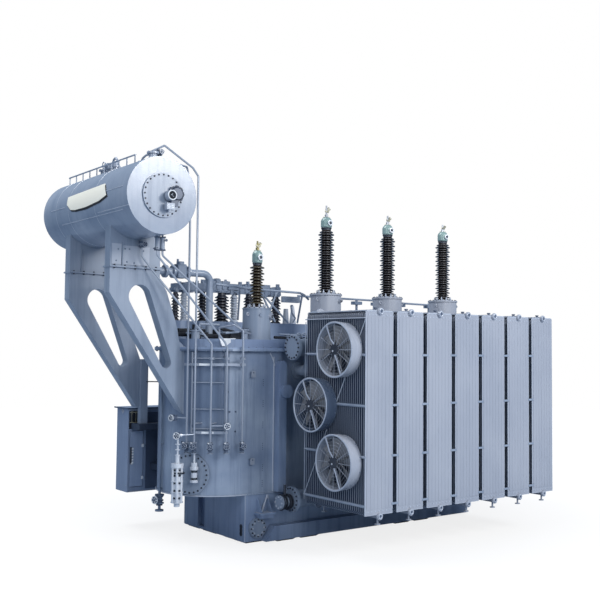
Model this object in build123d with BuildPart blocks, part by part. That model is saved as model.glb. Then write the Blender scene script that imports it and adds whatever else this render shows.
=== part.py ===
from build123d import *
from math import cos, pi, radians, sin, sqrt
import os

# Power transformer with a conservator, a radiator bank and three fans.
# Millimetres. The origin is the middle of the ground face under the lower tank.
# X runs along the tank, with the conservator at the low end.
# Y runs away from the radiators, and Z is up.

# Round bars thinner than this are drawn with flats
small_round = 50

# Lower tank and feet
base_length = 4964
base_width = 1816
base_height = 742
foot_height = 30
foot_bevel = 28
skid_reach = 150
skid_height = 250
skid_left = -2190
skid_right = 2340

# Upper tank, flange and cover
tank_radius = base_width / 2
end_centre = base_length / 2
tank_top = 2970
rim_thickness = 20
rim_overhang = 16
flange_thickness = 28
flange_overhang = 75
cover_thickness = 26
raised_inset = 110
raised_height = 130
cover_top = tank_top + cover_thickness
raised_top = cover_top + raised_height

# Wall stiffeners, pads and manhole
stiffener_depth = 115
stiffener_width = 150
stiffener_low = base_height + rim_thickness
stiffener_high = 2800
stiffener_places = (-1875, -1195, -515, 165, 845, 1525, 2205)
stub_x = -1830
stub_z = 2320
stub_radius = 105
boss_x = -2388
boss_heights = (1242, 2576)
pad_height = 440
pad_thickness = 30
pad_reach = 175
pad_width = 300
pad_depth = 50
pad_places = (-2170, 2170)
manhole_radius = 310
manhole_height = 1078
manhole_angle = 35
manhole_thickness = 24
manhole_neck = 8

# Radiator bank
lower_header_z = 668
radiator_count = 7
radiator_pitch = 615
radiator_width = 520
radiator_left = -1768
plate_count = 31
plate_pitch = 45
plate_thickness = 9
radiator_low = 643
radiator_high = 3537
radiator_front = -2859
radiator_depth = (plate_count - 1) * plate_pitch + plate_thickness
radiator_back = radiator_front + radiator_depth
plate_corner = 70
flute_count = 7
flute_pitch = 70
flute_depth = 5
flute_width = 54
flute_margin = 90
collector_side = 62
collector_low = radiator_low - 20
collector_high = radiator_high
cap_radius = 52
cap_reach = 26
joint_radius = 78
joint_thickness = 16
tie_heights = (778, 1466, 2187, 2911)
tie_length = radiator_pitch - radiator_width + 40
tie_width = 32
tie_thickness = 6
flute_length = radiator_high - radiator_low - 2 * flute_margin
drain_z = lower_header_z - 30

# Headers between the tank and the radiators
header_y = -1220
header_radius = 135
header_left = -1855
header_right = 2330
upper_header_z = 3008
header_flange_radius = 195
header_flange_thickness = 26
branch_radius = 45
tank_branches = (-1505, 1845)
tank_branch_z = 2640
tank_branch_radius = 85
lower_branch_radius = 70

# Fans
fan_places = ((-2394, 2980), (-1840, 2155), (-2394, 1358))
fan_radius = 410
fan_throat = 372
fan_wall = 8
fan_front = -1980
fan_back = radiator_left - 12
motor_radius = 82
motor_length = 78
arm_angle = 25
shaft_radius = 14
shaft_clearance = 0.05
hub_radius = 70
blade_count = 8
blade_sections = ((55, 100, 44, 9), (210, 182, 33, 7), (350, 244, 25, 5))

# Conservator and its brackets
conservator_x = -4160
conservator_z = 5140
conservator_radius = 555
conservator_near = -1200
conservator_far = 1900
dome_depth = 90
end_cover_radius = 318
end_cover_thickness = 24
bracket_depth = 180
near_bracket_y = -400
far_bracket_y = 1050
bracket_left = -4565
bracket_neck = -3745
splice_height = 4165
splice_thickness = 24
window_top = (-4073, 3738)
window_top_radius = 180
window_bottom = (-3615, 2762)
window_bottom_radius = 88

saddle_rib_x = -4374
post_left = -3300
post_right = -3170
post_near = 1000
post_far = 1100
post_high = 2790
gauge_x = -3998
gauge_z = 5161
gauge_radius = 80
gauge_mount_radius = 128
rail_x = -4300
rail_near = -600
rail_far = 1880
rail_high = 5800
rail_posts = 10
rail_bar = 12

# Pipes beside the tank
pipe_radius = 16
pipe_reach = 1029
clamp_heights = (1850, 2720)
clamp_turn = 5
main_radius = 57
main_z = 4180
main_end_x = -2620
ladder_reach = 972
ladder_low = 1700
ladder_high = 2925
ladder_angles = (216.6, 246.9)
ladder_rungs = (1764, 2061, 2463, 2829)
drain_reach = 948
drain_radius = 22

# Bushings along the cover
bushing_y = -500
bushing_places = (-605, 825, 2255)
turret_radius = 262
turret_high = 3925
neutral_x = -2035
neutral_turret_radius = 226
neutral_turret_high = 3630
rear_y = 500
rear_box_top = 3430
dark_bushings = ((-2965, 68), (-2450, 84), (-2070, 128), (-1520, 92), (-940, 95))
pale_bushings = ((-2805, 66), (-1820, 72))
rear_sheds_high = 3880
busbar_low = 3925

# Control cabinet, its door and the beams that carry it
cabinet_left = -3413
cabinet_right = -2300
cabinet_front = 1200
cabinet_back = 1620
cabinet_low = 590
cabinet_high = 1960
cabinet_wall = 15
roof_rise = 20
door_left = -3385
door_right = -3130
door_low = 670
door_high = 1600
door_thickness = 20
door_gap = 8
hinge_x = door_right + 6
hinge_y = cabinet_front - 14
hinge_radius = 11
pin_radius = 5
pin_clearance = 0.05
hinge_heights = (800, 1330)
beam_low = 1630
beam_high = 1730

os.makedirs("parts", exist_ok=True)


def write(piece, name):
    piece.part.label = name
    export_step(piece.part, f"parts/{name}.step")


def pipe(points, radius, bend):
    with BuildLine() as route:
        FilletPolyline(*points, radius=bend)
    with BuildSketch(Plane(origin=route.line @ 0, z_dir=route.line % 0)) as section:
        if radius < small_round:
            RegularPolygon(radius, 8)
        else:
            Circle(radius)
    sweep(section.sketch, path=route.line)


def disc(point, direction, radius, thickness):
    with BuildSketch(Plane(origin=point, z_dir=direction)) as face:
        if radius < small_round:
            RegularPolygon(radius, 10)
        else:
            Circle(radius)
    extrude(face.sketch, amount=thickness)


def rod(start, end, radius):
    span = Vector(*end) - Vector(*start)
    disc(start, span, radius, span.length)


def valve(point, direction, radius):
    axis = Vector(*direction).normalized()
    middle = Vector(*point)
    disc(middle, axis, radius * 1.5, radius * 0.4)
    disc(middle, axis, radius, radius * 3)
    disc(middle + axis * radius * 2.6, axis, radius * 1.5, radius * 0.4)


def wheel(point, direction, reach, radius):
    axis = Vector(*direction).normalized()
    disc(point, axis, radius * 0.2, reach)
    disc(Vector(*point) + axis * reach, axis, radius, radius * 0.25)


# Lower tank, with a recess in each end, a proud end plate and skid beams along the sides
with BuildPart() as tank_base:
    with BuildSketch(Plane.XY.offset(foot_height)):
        Rectangle(base_length, base_width)
    extrude(amount=base_height - foot_height)
    for end in (-1, 1):
        with BuildSketch(Plane.YZ.offset(end * end_centre)):
            with Locations((374, 350)):
                Rectangle(204, 560)
        extrude(amount=-end * 80, mode=Mode.SUBTRACT)
        with BuildSketch(Plane.YZ.offset(end * end_centre)):
            with Locations((-624, 386)):
                Rectangle(568, base_height - foot_height)
        extrude(amount=end * 12)
    for side in (-1, 1):
        with BuildSketch(Plane.XZ.offset(-side * tank_radius)):
            with BuildLine():
                Polyline(
                    (skid_left, foot_height), (skid_right, foot_height),
                    (skid_right - 160, skid_height), (skid_left + 160, skid_height), close=True,
                )
            make_face()
        extrude(amount=-side * skid_reach)
write(tank_base, "tank_base")

# Bevelled pads under the base
with BuildPart() as base_feet:
    with BuildSketch(Plane.XY):
        with Locations(*[(x, side * 905) for x in (-1785, -1320, 720, 1185) for side in (-1, 1)]):
            Rectangle(360, 250)
        with Locations(*[(end * 2230, side * 690) for end in (-1, 1) for side in (-1, 1)]):
            Rectangle(440, 380)
        with Locations((-2330, 200), (2330, 200)):
            Rectangle(240, 440)
        Rectangle(420, 1500)
    extrude(amount=foot_height)
    chamfer(base_feet.faces().group_by(Axis.Z)[0].edges(), length=foot_bevel - 6, length2=foot_bevel)
write(base_feet, "base_feet")

# Upper tank with rounded ends, closed by the flange
with BuildPart() as tank_shell:
    with BuildSketch(Plane.XY.offset(base_height)):
        SlotCenterToCenter(base_length, 2 * (tank_radius + rim_overhang))
    extrude(amount=rim_thickness)
    with BuildSketch(Plane.XY.offset(base_height)):
        SlotCenterToCenter(base_length, base_width)
    extrude(amount=tank_top - base_height)
    with BuildSketch(Plane.XY.offset(tank_top - flange_thickness)):
        SlotCenterToCenter(base_length, 2 * (tank_radius + flange_overhang))
    extrude(amount=flange_thickness)
    with BuildSketch(Plane.XZ.offset(tank_radius)):
        with Locations(*[(boss_x, height) for height in boss_heights]):
            Rectangle(62, 62)
    extrude(amount=45)
write(tank_shell, "tank_shell")

# Cover plate with its raised box and the rear box under the low voltage bushings
with BuildPart() as tank_cover:
    with BuildSketch(Plane.XY.offset(tank_top)):
        SlotCenterToCenter(base_length, 2 * (tank_radius + flange_overhang))
    extrude(amount=cover_thickness)
    with BuildSketch(Plane.XY.offset(cover_top)):
        SlotCenterToCenter(base_length, 2 * (tank_radius - raised_inset))
    extrude(amount=raised_height)
    with BuildSketch(Plane.XY.offset(raised_top)):
        with Locations((-1500, rear_y)):
            RectangleRounded(2260, 420, 40)
    extrude(amount=rear_box_top - raised_top)
    with BuildSketch(Plane.XY.offset(raised_top)):
        with Locations((-2885, 480)):
            Circle(150)
    extrude(amount=rear_box_top - raised_top)
write(tank_cover, "tank_cover")

# Upright box stiffeners with rounded tops on the long walls
with BuildPart() as wall_stiffeners:
    for side in (-1, 1):
        with BuildSketch(Plane(origin=(0, side * tank_radius, 0), x_dir=(-side, 0, 0), z_dir=(0, side, 0))):
            for place in stiffener_places:
                height = stiffener_high - stiffener_low
                with Locations((-side * place, stiffener_low + (height - stiffener_width / 2) / 2)):
                    Rectangle(stiffener_width, height - stiffener_width / 2)
                with Locations((-side * place, stiffener_high - stiffener_width / 2)):
                    Circle(stiffener_width / 2)
        extrude(amount=stiffener_depth)
    disc((stub_x, -tank_radius - stiffener_depth, stub_z), (0, -1, 0), stub_radius, 60)
write(wall_stiffeners, "wall_stiffeners")

# Jacking pads, each a plate under a sloped gusset and above a short box
with BuildPart() as jacking_pads:
    for side in (-1, 1):
        for place in pad_places:
            with BuildSketch(Plane.XY.offset(pad_height)):
                with Locations((place, side * (tank_radius + pad_reach / 2))):
                    Rectangle(pad_width, pad_reach)
            extrude(amount=pad_thickness)
            with BuildSketch(Plane.XY.offset(pad_height)):
                with Locations((place, side * (tank_radius + pad_reach / 2 - 10))):
                    Rectangle(pad_width - 60, pad_reach - 20)
            extrude(amount=-pad_depth)
            for gusset in (-95, 95):
                rise = Plane(
                    origin=(place + gusset - 8, side * tank_radius, pad_height + pad_thickness),
                    x_dir=(0, side, 0), z_dir=(1, 0, 0),
                )
                with BuildSketch(rise):
                    with BuildLine():
                        Polyline((0, 0), (pad_reach - 25, 0), (0, side * 230), close=True)
                    make_face()
                extrude(amount=16)
write(jacking_pads, "jacking_pads")

# Bolted manhole on the rounded end
manhole_plane = Plane(
    origin=(-end_centre, 0, manhole_height),
    x_dir=(sin(radians(manhole_angle)), -cos(radians(manhole_angle)), 0),
    z_dir=(-cos(radians(manhole_angle)), -sin(radians(manhole_angle)), 0),
)
with BuildPart() as manhole_cover:
    with BuildSketch(manhole_plane.offset(tank_radius - 60)):
        Circle(manhole_radius - 34)
    extrude(amount=60 + manhole_neck)
    with BuildSketch(manhole_plane.offset(tank_radius + manhole_neck)):
        Circle(manhole_radius)
    extrude(amount=manhole_thickness)
    with BuildSketch(Plane.XY.offset(base_height)):
        SlotCenterToCenter(base_length, base_width)
    extrude(amount=tank_top - base_height, mode=Mode.SUBTRACT)
write(manhole_cover, "manhole_cover")

# One radiator: pressed plates with bevelled corners on two collectors
# The outer plate on each side shows its raised flutes
middle_x = radiator_left + radiator_width / 2
middle_y = radiator_front + radiator_depth / 2
middle_z = (radiator_low + radiator_high) / 2
corners = [(middle_x + side * radiator_width / 2, end) for side in (-1, 1) for end in (radiator_low, radiator_high)]
with BuildPart() as radiator:
    with BuildSketch(Plane.XY.offset(radiator_low)):
        with Locations((middle_x, middle_y)):
            with GridLocations(radiator_width, plate_pitch, 1, plate_count):
                Rectangle(radiator_width, plate_thickness)
    extrude(amount=radiator_high - radiator_low)
    with BuildSketch(Plane.XZ.offset(-radiator_front)):
        with Locations(*corners):
            Rectangle(plate_corner, plate_corner, rotation=45)
    extrude(amount=-radiator_depth, mode=Mode.SUBTRACT)
    for face_y, depth in ((radiator_front, flute_depth), (radiator_back, -flute_depth)):
        with BuildSketch(Plane.XZ.offset(-face_y)):
            with Locations((middle_x, middle_z)):
                with GridLocations(flute_pitch, 0, flute_count, 1):
                    Rectangle(flute_width, flute_length)
        extrude(amount=depth)
    for face_y in (radiator_front, radiator_back - plate_thickness):
        with BuildSketch(Plane.XZ.offset(-face_y - plate_thickness)):
            with Locations((middle_x, middle_z)):
                Rectangle(radiator_width, radiator_high - radiator_low)
        extrude(amount=plate_thickness)
    with BuildSketch(Plane.XZ.offset(-radiator_front)):
        with Locations((middle_x, collector_low), (middle_x, collector_high)):
            Rectangle(collector_side, collector_side)
    extrude(amount=-radiator_depth)
    for height in (collector_low, collector_high):
        disc((middle_x, radiator_front, height), (0, -1, 0), cap_radius, cap_reach)
        disc((middle_x, radiator_back, height), (0, 1, 0), joint_radius, joint_thickness)
    for drain_y in (radiator_front + 30, radiator_back - 120):
        disc((middle_x, drain_y, collector_low), (0, 0, -1), 14, 120)
        disc((middle_x, drain_y, collector_low - 120), (0, 0, 1), 42, 12)

# The bank: seven of them side by side
for number in range(radiator_count):
    with BuildPart() as placed_radiator:
        with Locations((number * radiator_pitch, 0, 0)):
            add(radiator.part)
    write(placed_radiator, f"radiator_{number + 1}")

# Bars across the near radiator that carry the fans, and tie bars between the radiators
with BuildPart() as radiator_ties:
    for height in tie_heights:
        with BuildSketch(Plane.YZ.offset(fan_back)):
            with Locations(((radiator_front + radiator_back) / 2, height)):
                Rectangle(radiator_depth, 40)
        extrude(amount=radiator_left - fan_back)
        for number in range(radiator_count - 1):
            gap_x = radiator_left + number * radiator_pitch + (radiator_pitch + radiator_width) / 2
            with BuildSketch(Plane.XZ.offset(-radiator_front)):
                with Locations((gap_x, height)):
                    Rectangle(tie_length, tie_width)
            extrude(amount=tie_thickness)
write(radiator_ties, "radiator_ties")

# Upper header with blind end flanges, a riser to each radiator and two bends to the tank
with BuildPart() as upper_header:
    disc((header_left, header_y, upper_header_z), (1, 0, 0), header_radius, header_right - header_left)
    for end_x in (header_left, header_right - 2 * header_flange_thickness):
        disc((end_x, header_y, upper_header_z), (1, 0, 0), header_flange_radius, 2 * header_flange_thickness)
    for number in range(radiator_count):
        branch_x = radiator_left + number * radiator_pitch + radiator_width / 2
        joint_y = radiator_back + joint_thickness
        pipe(
            ((branch_x, header_y, upper_header_z), (branch_x, header_y, collector_high),
             (branch_x, joint_y, collector_high)), branch_radius, 100,
        )
        disc((branch_x, joint_y, collector_high), (0, 1, 0), joint_radius, joint_thickness)
    for branch_x in tank_branches:
        pipe(
            ((branch_x, header_y, upper_header_z), (branch_x, header_y, tank_branch_z),
             (branch_x, -tank_radius, tank_branch_z)), tank_branch_radius, 140,
        )
        disc((branch_x, -tank_radius, tank_branch_z), (0, -1, 0), tank_branch_radius + 50, 40)
write(upper_header, "upper_header")

# Lower header with a drain valve at the near end
with BuildPart() as lower_header:
    disc((header_left, header_y, lower_header_z), (1, 0, 0), header_radius, header_right - header_left)
    for end_x in (header_left, header_right - 2 * header_flange_thickness):
        disc((end_x, header_y, lower_header_z), (1, 0, 0), header_flange_radius, 2 * header_flange_thickness)
    disc((header_left, header_y, drain_z), (-1, 0, 0), 60, 190)
    disc((header_left - 60, header_y, drain_z), (-1, 0, 0), 82, 100)
    disc((header_left - 190, header_y, drain_z), (-1, 0, 0), 108, 30)
    for number in range(radiator_count):
        branch_x = radiator_left + number * radiator_pitch + radiator_width / 2
        joint_y = radiator_back + joint_thickness
        disc((branch_x, header_y, collector_low), (0, -1, 0), branch_radius, header_y - joint_y)
        disc((branch_x, joint_y, collector_low), (0, 1, 0), joint_radius, joint_thickness)
    for branch_x in tank_branches:
        disc((branch_x, header_y, lower_header_z), (0, 1, 0), lower_branch_radius, -header_y - tank_radius)
write(lower_header, "lower_header")

# Fans: a flared shroud with the motor held in front by four arms, and the rotor behind it
for number, (fan_y, fan_z) in enumerate(fan_places):
    front = Plane(origin=(fan_front, fan_y, fan_z), x_dir=(0, -1, 0), z_dir=(-1, 0, 0))
    motor_back = fan_front + motor_length
    with BuildPart() as fan_shroud:
        with BuildSketch(Plane(origin=(0, fan_y, fan_z), x_dir=(1, 0, 0), z_dir=(0, -1, 0))):
            with BuildLine():
                Polyline(
                    (fan_front, fan_radius), (fan_back, fan_radius - 14), (fan_back, fan_throat),
                    (fan_front + 90, fan_throat), (fan_front + 22, fan_throat + 14),
                    (fan_front, fan_radius - fan_wall), close=True,
                )
            make_face()
        revolve(axis=Axis((0, fan_y, fan_z), (1, 0, 0)))
        with BuildSketch(front):
            Circle(motor_radius)
        extrude(amount=-motor_length)
        with BuildSketch(front.offset(-10)):
            with PolarLocations(0, 4, start_angle=arm_angle):
                with Locations(((motor_radius + fan_radius) / 2 - 12, 0)):
                    Rectangle(fan_radius - motor_radius, 22)
        extrude(amount=-14)
        with BuildSketch(front.offset(-motor_length)):
            Circle(shaft_radius + shaft_clearance)
        extrude(amount=motor_length - 20, mode=Mode.SUBTRACT)
    write(fan_shroud, f"fan_shroud_{number + 1}")

    rotor_x = motor_back + 8
    with BuildPart() as fan_rotor:
        disc((rotor_x, fan_y, fan_z), (1, 0, 0), hub_radius, 78)
        with BuildSketch(Plane(origin=(rotor_x, fan_y, fan_z), z_dir=(-1, 0, 0))):
            Circle(shaft_radius)
        extrude(amount=motor_length - 24)
        for blade in range(blade_count):
            turn = 2 * pi * blade / blade_count
            outward = Vector(0, cos(turn), sin(turn))
            along = Vector(0, -sin(turn), cos(turn))
            for reach, chord, pitch, thick in blade_sections:
                twist = radians(pitch)
                station = Plane(
                    origin=Vector(rotor_x + 39, fan_y, fan_z) + outward * reach,
                    x_dir=along * cos(twist) + Vector(sin(twist), 0, 0), z_dir=outward,
                )
                with BuildSketch(station):
                    Rectangle(chord, thick)
            loft(ruled=True)
    write(fan_rotor, f"fan_rotor_{number + 1}")

# Conservator drum with a flat near end, a domed far end and its top fittings
with BuildPart() as conservator_shell:
    with BuildSketch(Plane(origin=(conservator_x, 0, conservator_z), x_dir=(0, 1, 0), z_dir=(1, 0, 0))):
        with BuildLine():
            Polyline(
                (conservator_far - dome_depth, conservator_radius), (conservator_near, conservator_radius),
                (conservator_near, 0), (conservator_far, 0),
            )
            ThreePointArc(
                (conservator_far, 0), (conservator_far - 0.27 * dome_depth, conservator_radius * 0.52),
                (conservator_far - dome_depth, conservator_radius),
            )
        make_face()
    revolve(axis=Axis((conservator_x, 0, conservator_z), (0, 1, 0)))
    disc((conservator_x, -887, conservator_z), (0, 0, 1), 60, conservator_radius + 90)
    disc((conservator_x, -887, conservator_z + conservator_radius + 90), (0, 0, 1), 88, 26)
    for spot in (330, 540, 760):
        disc((conservator_x, spot, conservator_z), (0, 0, 1), 48, conservator_radius + 80)
        disc((conservator_x, spot, conservator_z + conservator_radius + 80), (0, 0, 1), 76, 24)
write(conservator_shell, "conservator_shell")

# Bolted cover on the near end
with BuildPart() as conservator_cover:
    disc((conservator_x, conservator_near, conservator_z), (0, -1, 0), end_cover_radius, end_cover_thickness)
write(conservator_cover, "conservator_cover")

# Oil level gauge on the cover: an eight-sided mount, a round dial case and a small box under it
with BuildPart() as level_gauge:
    cover_face = conservator_near - end_cover_thickness
    with BuildSketch(Plane.XZ.offset(-cover_face)):
        with Locations((gauge_x + 30, gauge_z + 12)):
            RegularPolygon(gauge_mount_radius, 8)
    extrude(amount=38)
    disc((gauge_x, cover_face - 38, gauge_z), (0, -1, 0), gauge_radius - 22, 40)
    disc((gauge_x, cover_face - 78, gauge_z), (0, -1, 0), gauge_radius, 42)
    with BuildSketch(Plane.XZ.offset(-cover_face)):
        with Locations((gauge_x - 20, gauge_z - 128)):
            Rectangle(110, 84)
        with Locations((gauge_x - 20, gauge_z - 84)):
            Rectangle(40, 40)
    extrude(amount=80)
write(level_gauge, "level_gauge")

# Rail along the top of the drum
with BuildPart() as conservator_rail:
    for post in range(rail_posts):
        post_y = rail_near + post * (rail_far - rail_near - 130) / (rail_posts - 1)
        disc((rail_x, post_y, conservator_z), (0, 0, 1), rail_bar * 0.8, rail_high - conservator_z)
    disc((rail_x, rail_near - 20, rail_high), (0, 1, 0), rail_bar, rail_far - rail_near - 80)
    with BuildSketch(Plane.XZ.offset(-conservator_near)):
        with Locations((conservator_x, conservator_z)):
            Circle(conservator_radius)
    extrude(amount=conservator_near - conservator_far, mode=Mode.SUBTRACT)
write(conservator_rail, "conservator_rail")

# Box brackets that carry the drum, each with a long tapered window and a bolted splice
near_outline = (
    (bracket_left, conservator_z), (bracket_left, 3782), (-3310, 1976), (-3250, 1976), (-3250, tank_top),
    (-3392, 3080), (-3440, 3317), (-3625, 3835), (bracket_neck, 4020),
    (bracket_neck, conservator_z),
)
far_outline = (
    (bracket_left, conservator_z), (bracket_left, 3735), (-3340, 1995), (post_left, 1995), (post_left, post_high),
    (-3410, 3070), (-3625, 3835), (bracket_neck, 4020), (bracket_neck, conservator_z),
)
for bracket_name, bracket_y, outline in (
    ("near_bracket", near_bracket_y, near_outline), ("far_bracket", far_bracket_y, far_outline),
):
    with BuildPart() as bracket:
        with BuildSketch(Plane.XZ.offset(-bracket_y - bracket_depth)):
            with BuildLine():
                Polyline(*outline, close=True)
            make_face()
            with Locations((conservator_x, conservator_z)):
                Circle(conservator_radius, mode=Mode.SUBTRACT)
            with BuildSketch(mode=Mode.PRIVATE) as window:
                with Locations(window_top):
                    Circle(window_top_radius)
                with Locations(window_bottom):
                    Circle(window_bottom_radius)
                make_hull()
            add(window.sketch, mode=Mode.SUBTRACT)
        extrude(amount=bracket_depth)
        with BuildSketch(Plane.XY.offset(splice_height - splice_thickness / 2)):
            with Locations(((bracket_left + bracket_neck) / 2, bracket_y + bracket_depth / 2)):
                Rectangle(bracket_neck - bracket_left + 24, bracket_depth + 60)
        extrude(amount=splice_thickness)
        with BuildSketch(Plane.XZ.offset(-bracket_y)):
            with Locations((saddle_rib_x, splice_height + 180)):
                Rectangle(14, 360)
        extrude(amount=22)
        with BuildSketch(Plane.XY.offset(base_height)):
            SlotCenterToCenter(base_length, base_width)
        extrude(amount=tank_top - base_height, mode=Mode.SUBTRACT)
        with BuildSketch(Plane.XY.offset(tank_top - flange_thickness)):
            SlotCenterToCenter(base_length, 2 * (tank_radius + flange_overhang))
        extrude(amount=flange_thickness + cover_thickness, mode=Mode.SUBTRACT)
    write(bracket, bracket_name)

# Post between the far bracket and the cabinet beam
with BuildPart() as bracket_post:
    with BuildSketch(Plane.XY.offset(beam_high)):
        with Locations(((post_left + post_right) / 2, (post_near + post_far) / 2)):
            Rectangle(post_right - post_left, post_far - post_near)
    extrude(amount=post_high - beam_high)
write(bracket_post, "bracket_post")

# Turrets of the high voltage bushings, each with a top flange, and a smaller one for the neutral
with BuildPart() as hv_turrets:
    for place in bushing_places:
        disc((place, bushing_y, raised_top), (0, 0, 1), turret_radius, turret_high - raised_top)
        disc((place, bushing_y, turret_high - 28), (0, 0, 1), turret_radius + 16, 28)
        disc((place, bushing_y, raised_top), (0, 0, 1), turret_radius + 16, 30)
write(hv_turrets, "hv_turrets")

with BuildPart() as neutral_turret:
    disc((neutral_x, bushing_y, raised_top), (0, 0, 1), neutral_turret_radius, neutral_turret_high - raised_top)
    disc((neutral_x, bushing_y, neutral_turret_high - 14), (0, 0, 1), neutral_turret_radius + 10, 14)
    disc((neutral_x, bushing_y, raised_top), (0, 0, 1), neutral_turret_radius + 14, 30)
    disc((neutral_x - 60, bushing_y, neutral_turret_high - 110), (0, -1, 0), 34, neutral_turret_radius)
write(neutral_turret, "neutral_turret")


def shed_profile(base, low, high, top, core, big, small, count):
    points = [(0, base), (core * 1.7, base), (core * 1.7, base + 18)]
    pitch = (high - low) / count
    for shed in range(count):
        reach = big if shed % 2 == 0 else small
        foot = low + shed * pitch
        points += [(core, foot), (reach, foot + 0.2 * pitch)]
    return points + [(core, high), (core, top), (0, top)]


# Bushings: a revolved column of sheds, large and small in turn
with BuildPart() as hv_bushings:
    for place in bushing_places:
        with BuildSketch(Plane(origin=(place, bushing_y, 0), x_dir=(1, 0, 0), z_dir=(0, -1, 0))):
            with BuildLine():
                Polyline(*shed_profile(turret_high, 3980, 5020, 5055, 72, 138, 116, 24), close=True)
            make_face()
        revolve(axis=Axis((place, bushing_y, 0), (0, 0, 1)))
write(hv_bushings, "hv_bushings")

with BuildPart() as neutral_bushing:
    with BuildSketch(Plane(origin=(neutral_x, bushing_y, 0), x_dir=(1, 0, 0), z_dir=(0, -1, 0))):
        with BuildLine():
            Polyline(*shed_profile(neutral_turret_high, 3700, 4322, 4352, 58, 118, 96, 13), close=True)
        make_face()
    revolve(axis=Axis((neutral_x, bushing_y, 0), (0, 0, 1)))
write(neutral_bushing, "neutral_bushing")

# Domed heads with a round port, and the terminals that stand on them
with BuildPart() as bushing_heads:
    for place, base, top, radius in [(x, 5055, 5250, 96) for x in bushing_places] + [(neutral_x, 4352, 4570, 84)]:
        with BuildSketch(Plane(origin=(place, bushing_y, 0), x_dir=(1, 0, 0), z_dir=(0, -1, 0))):
            with BuildLine():
                Polyline((0, base), (radius - 20, base), (radius, base + 30), (radius, top - 70))
                ThreePointArc((radius, top - 70), (radius * 0.74, top - 22), (radius * 0.4, top))
                Polyline((radius * 0.4, top), (0, top), (0, base))
            make_face()
        revolve(axis=Axis((place, bushing_y, 0), (0, 0, 1)))
        disc((place, bushing_y, (base + top) / 2 - 10), (0, -1, 0), 50, radius + 12)
write(bushing_heads, "bushing_heads")

with BuildPart() as bushing_terminals:
    for place, base, top in zip((*bushing_places, neutral_x), (5250, 5250, 5250, 4570), (5450, 5415, 5385, 4723)):
        disc((place, bushing_y, base), (0, 0, 1), 30, 46)
        disc((place, bushing_y, base), (0, 0, 1), 15, top - base)
        with BuildSketch(Plane.XZ.offset(-bushing_y - 9)):
            with Locations((place + 16, base + (top - base) * 0.56)):
                RectangleRounded(74, 60, 12)
        extrude(amount=18)
write(bushing_terminals, "bushing_terminals")

# Rear row of low voltage bushings, dark and pale
with BuildPart() as dark_rear_bushings:
    for place, reach in dark_bushings:
        with BuildSketch(Plane(origin=(place, rear_y, 0), x_dir=(1, 0, 0), z_dir=(0, -1, 0))):
            with BuildLine():
                Polyline(*shed_profile(
                    rear_box_top, rear_box_top + 50, rear_sheds_high, busbar_low, reach * 0.55, reach, reach * 0.9, 8,
                ), close=True)
            make_face()
        revolve(axis=Axis((place, rear_y, 0), (0, 0, 1)))
write(dark_rear_bushings, "dark_rear_bushings")

with BuildPart() as pale_rear_bushings:
    for place, reach in pale_bushings:
        with BuildSketch(Plane(origin=(place, rear_y, 0), x_dir=(1, 0, 0), z_dir=(0, -1, 0))):
            with BuildLine():
                Polyline(*shed_profile(
                    rear_box_top, rear_box_top + 50, rear_sheds_high, busbar_low, reach * 0.6, reach, reach * 0.9, 9,
                ), close=True)
            make_face()
        revolve(axis=Axis((place, rear_y, 0), (0, 0, 1)))
    with BuildSketch(Plane.XY.offset(rear_box_top)):
        with Locations((-712, rear_y)):
            Circle(60)
    extrude(amount=270, taper=4)
    with BuildSketch(Plane.XY.offset(rear_box_top)):
        with Locations((-560, rear_y)):
            Circle(64)
    extrude(amount=330, taper=7)
write(pale_rear_bushings, "pale_rear_bushings")

# Covered busbars over the rear row, stepped and sloped as they run along
with BuildPart() as busbar_duct:
    with BuildSketch(Plane.XZ.offset(-rear_y - 75)):
        with BuildLine():
            Polyline(
                (-3040, busbar_low), (-880, busbar_low), (-880, 3985), (-1040, 3990), (-1240, 4070),
                (-1560, 4085), (-1760, 4040), (-1900, 4030), (-2000, 4100), (-2320, 4110), (-2390, 4010),
                (-2900, 3990), (-3040, 3970), close=True,
            )
        make_face()
    extrude(amount=150)
    for place in (-2450, -1980, -1700, -1330, -900):
        disc((place, rear_y, busbar_low + 40), (0, 0, 1), 34, 165)
    for place, reach in dark_bushings + pale_bushings:
        disc((place, rear_y, busbar_low), (0, 0, 1), 96, 30)
write(busbar_duct, "busbar_duct")

# Main oil pipe from the drum to the cover, in two runs on either side of the gas relay
with BuildPart() as main_oil_pipe:
    pipe(((-3950, 0, 4700), (-3950, 0, main_z), (-3300, 0, main_z)), main_radius, 130)
    disc((-3300, 0, main_z), (-1, 0, 0), 100, 22)
    disc((-3420, 0, main_z), (-1, 0, 0), 100, 22)
    disc((-3442, 0, main_z), (-1, 0, 0), 100, 22)
    pipe(((-3040, 0, main_z), (main_end_x, 0, main_z), (main_end_x, 0, raised_top)), main_radius, 130)
    disc((-3040, 0, main_z), (1, 0, 0), 100, 22)
    disc((main_end_x, 0, raised_top), (0, 0, 1), 105, 24)
    with BuildSketch(Plane.XZ.offset(-conservator_near)):
        with Locations((conservator_x, conservator_z)):
            Circle(conservator_radius)
    extrude(amount=conservator_near - conservator_far, mode=Mode.SUBTRACT)
write(main_oil_pipe, "main_oil_pipe")

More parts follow.
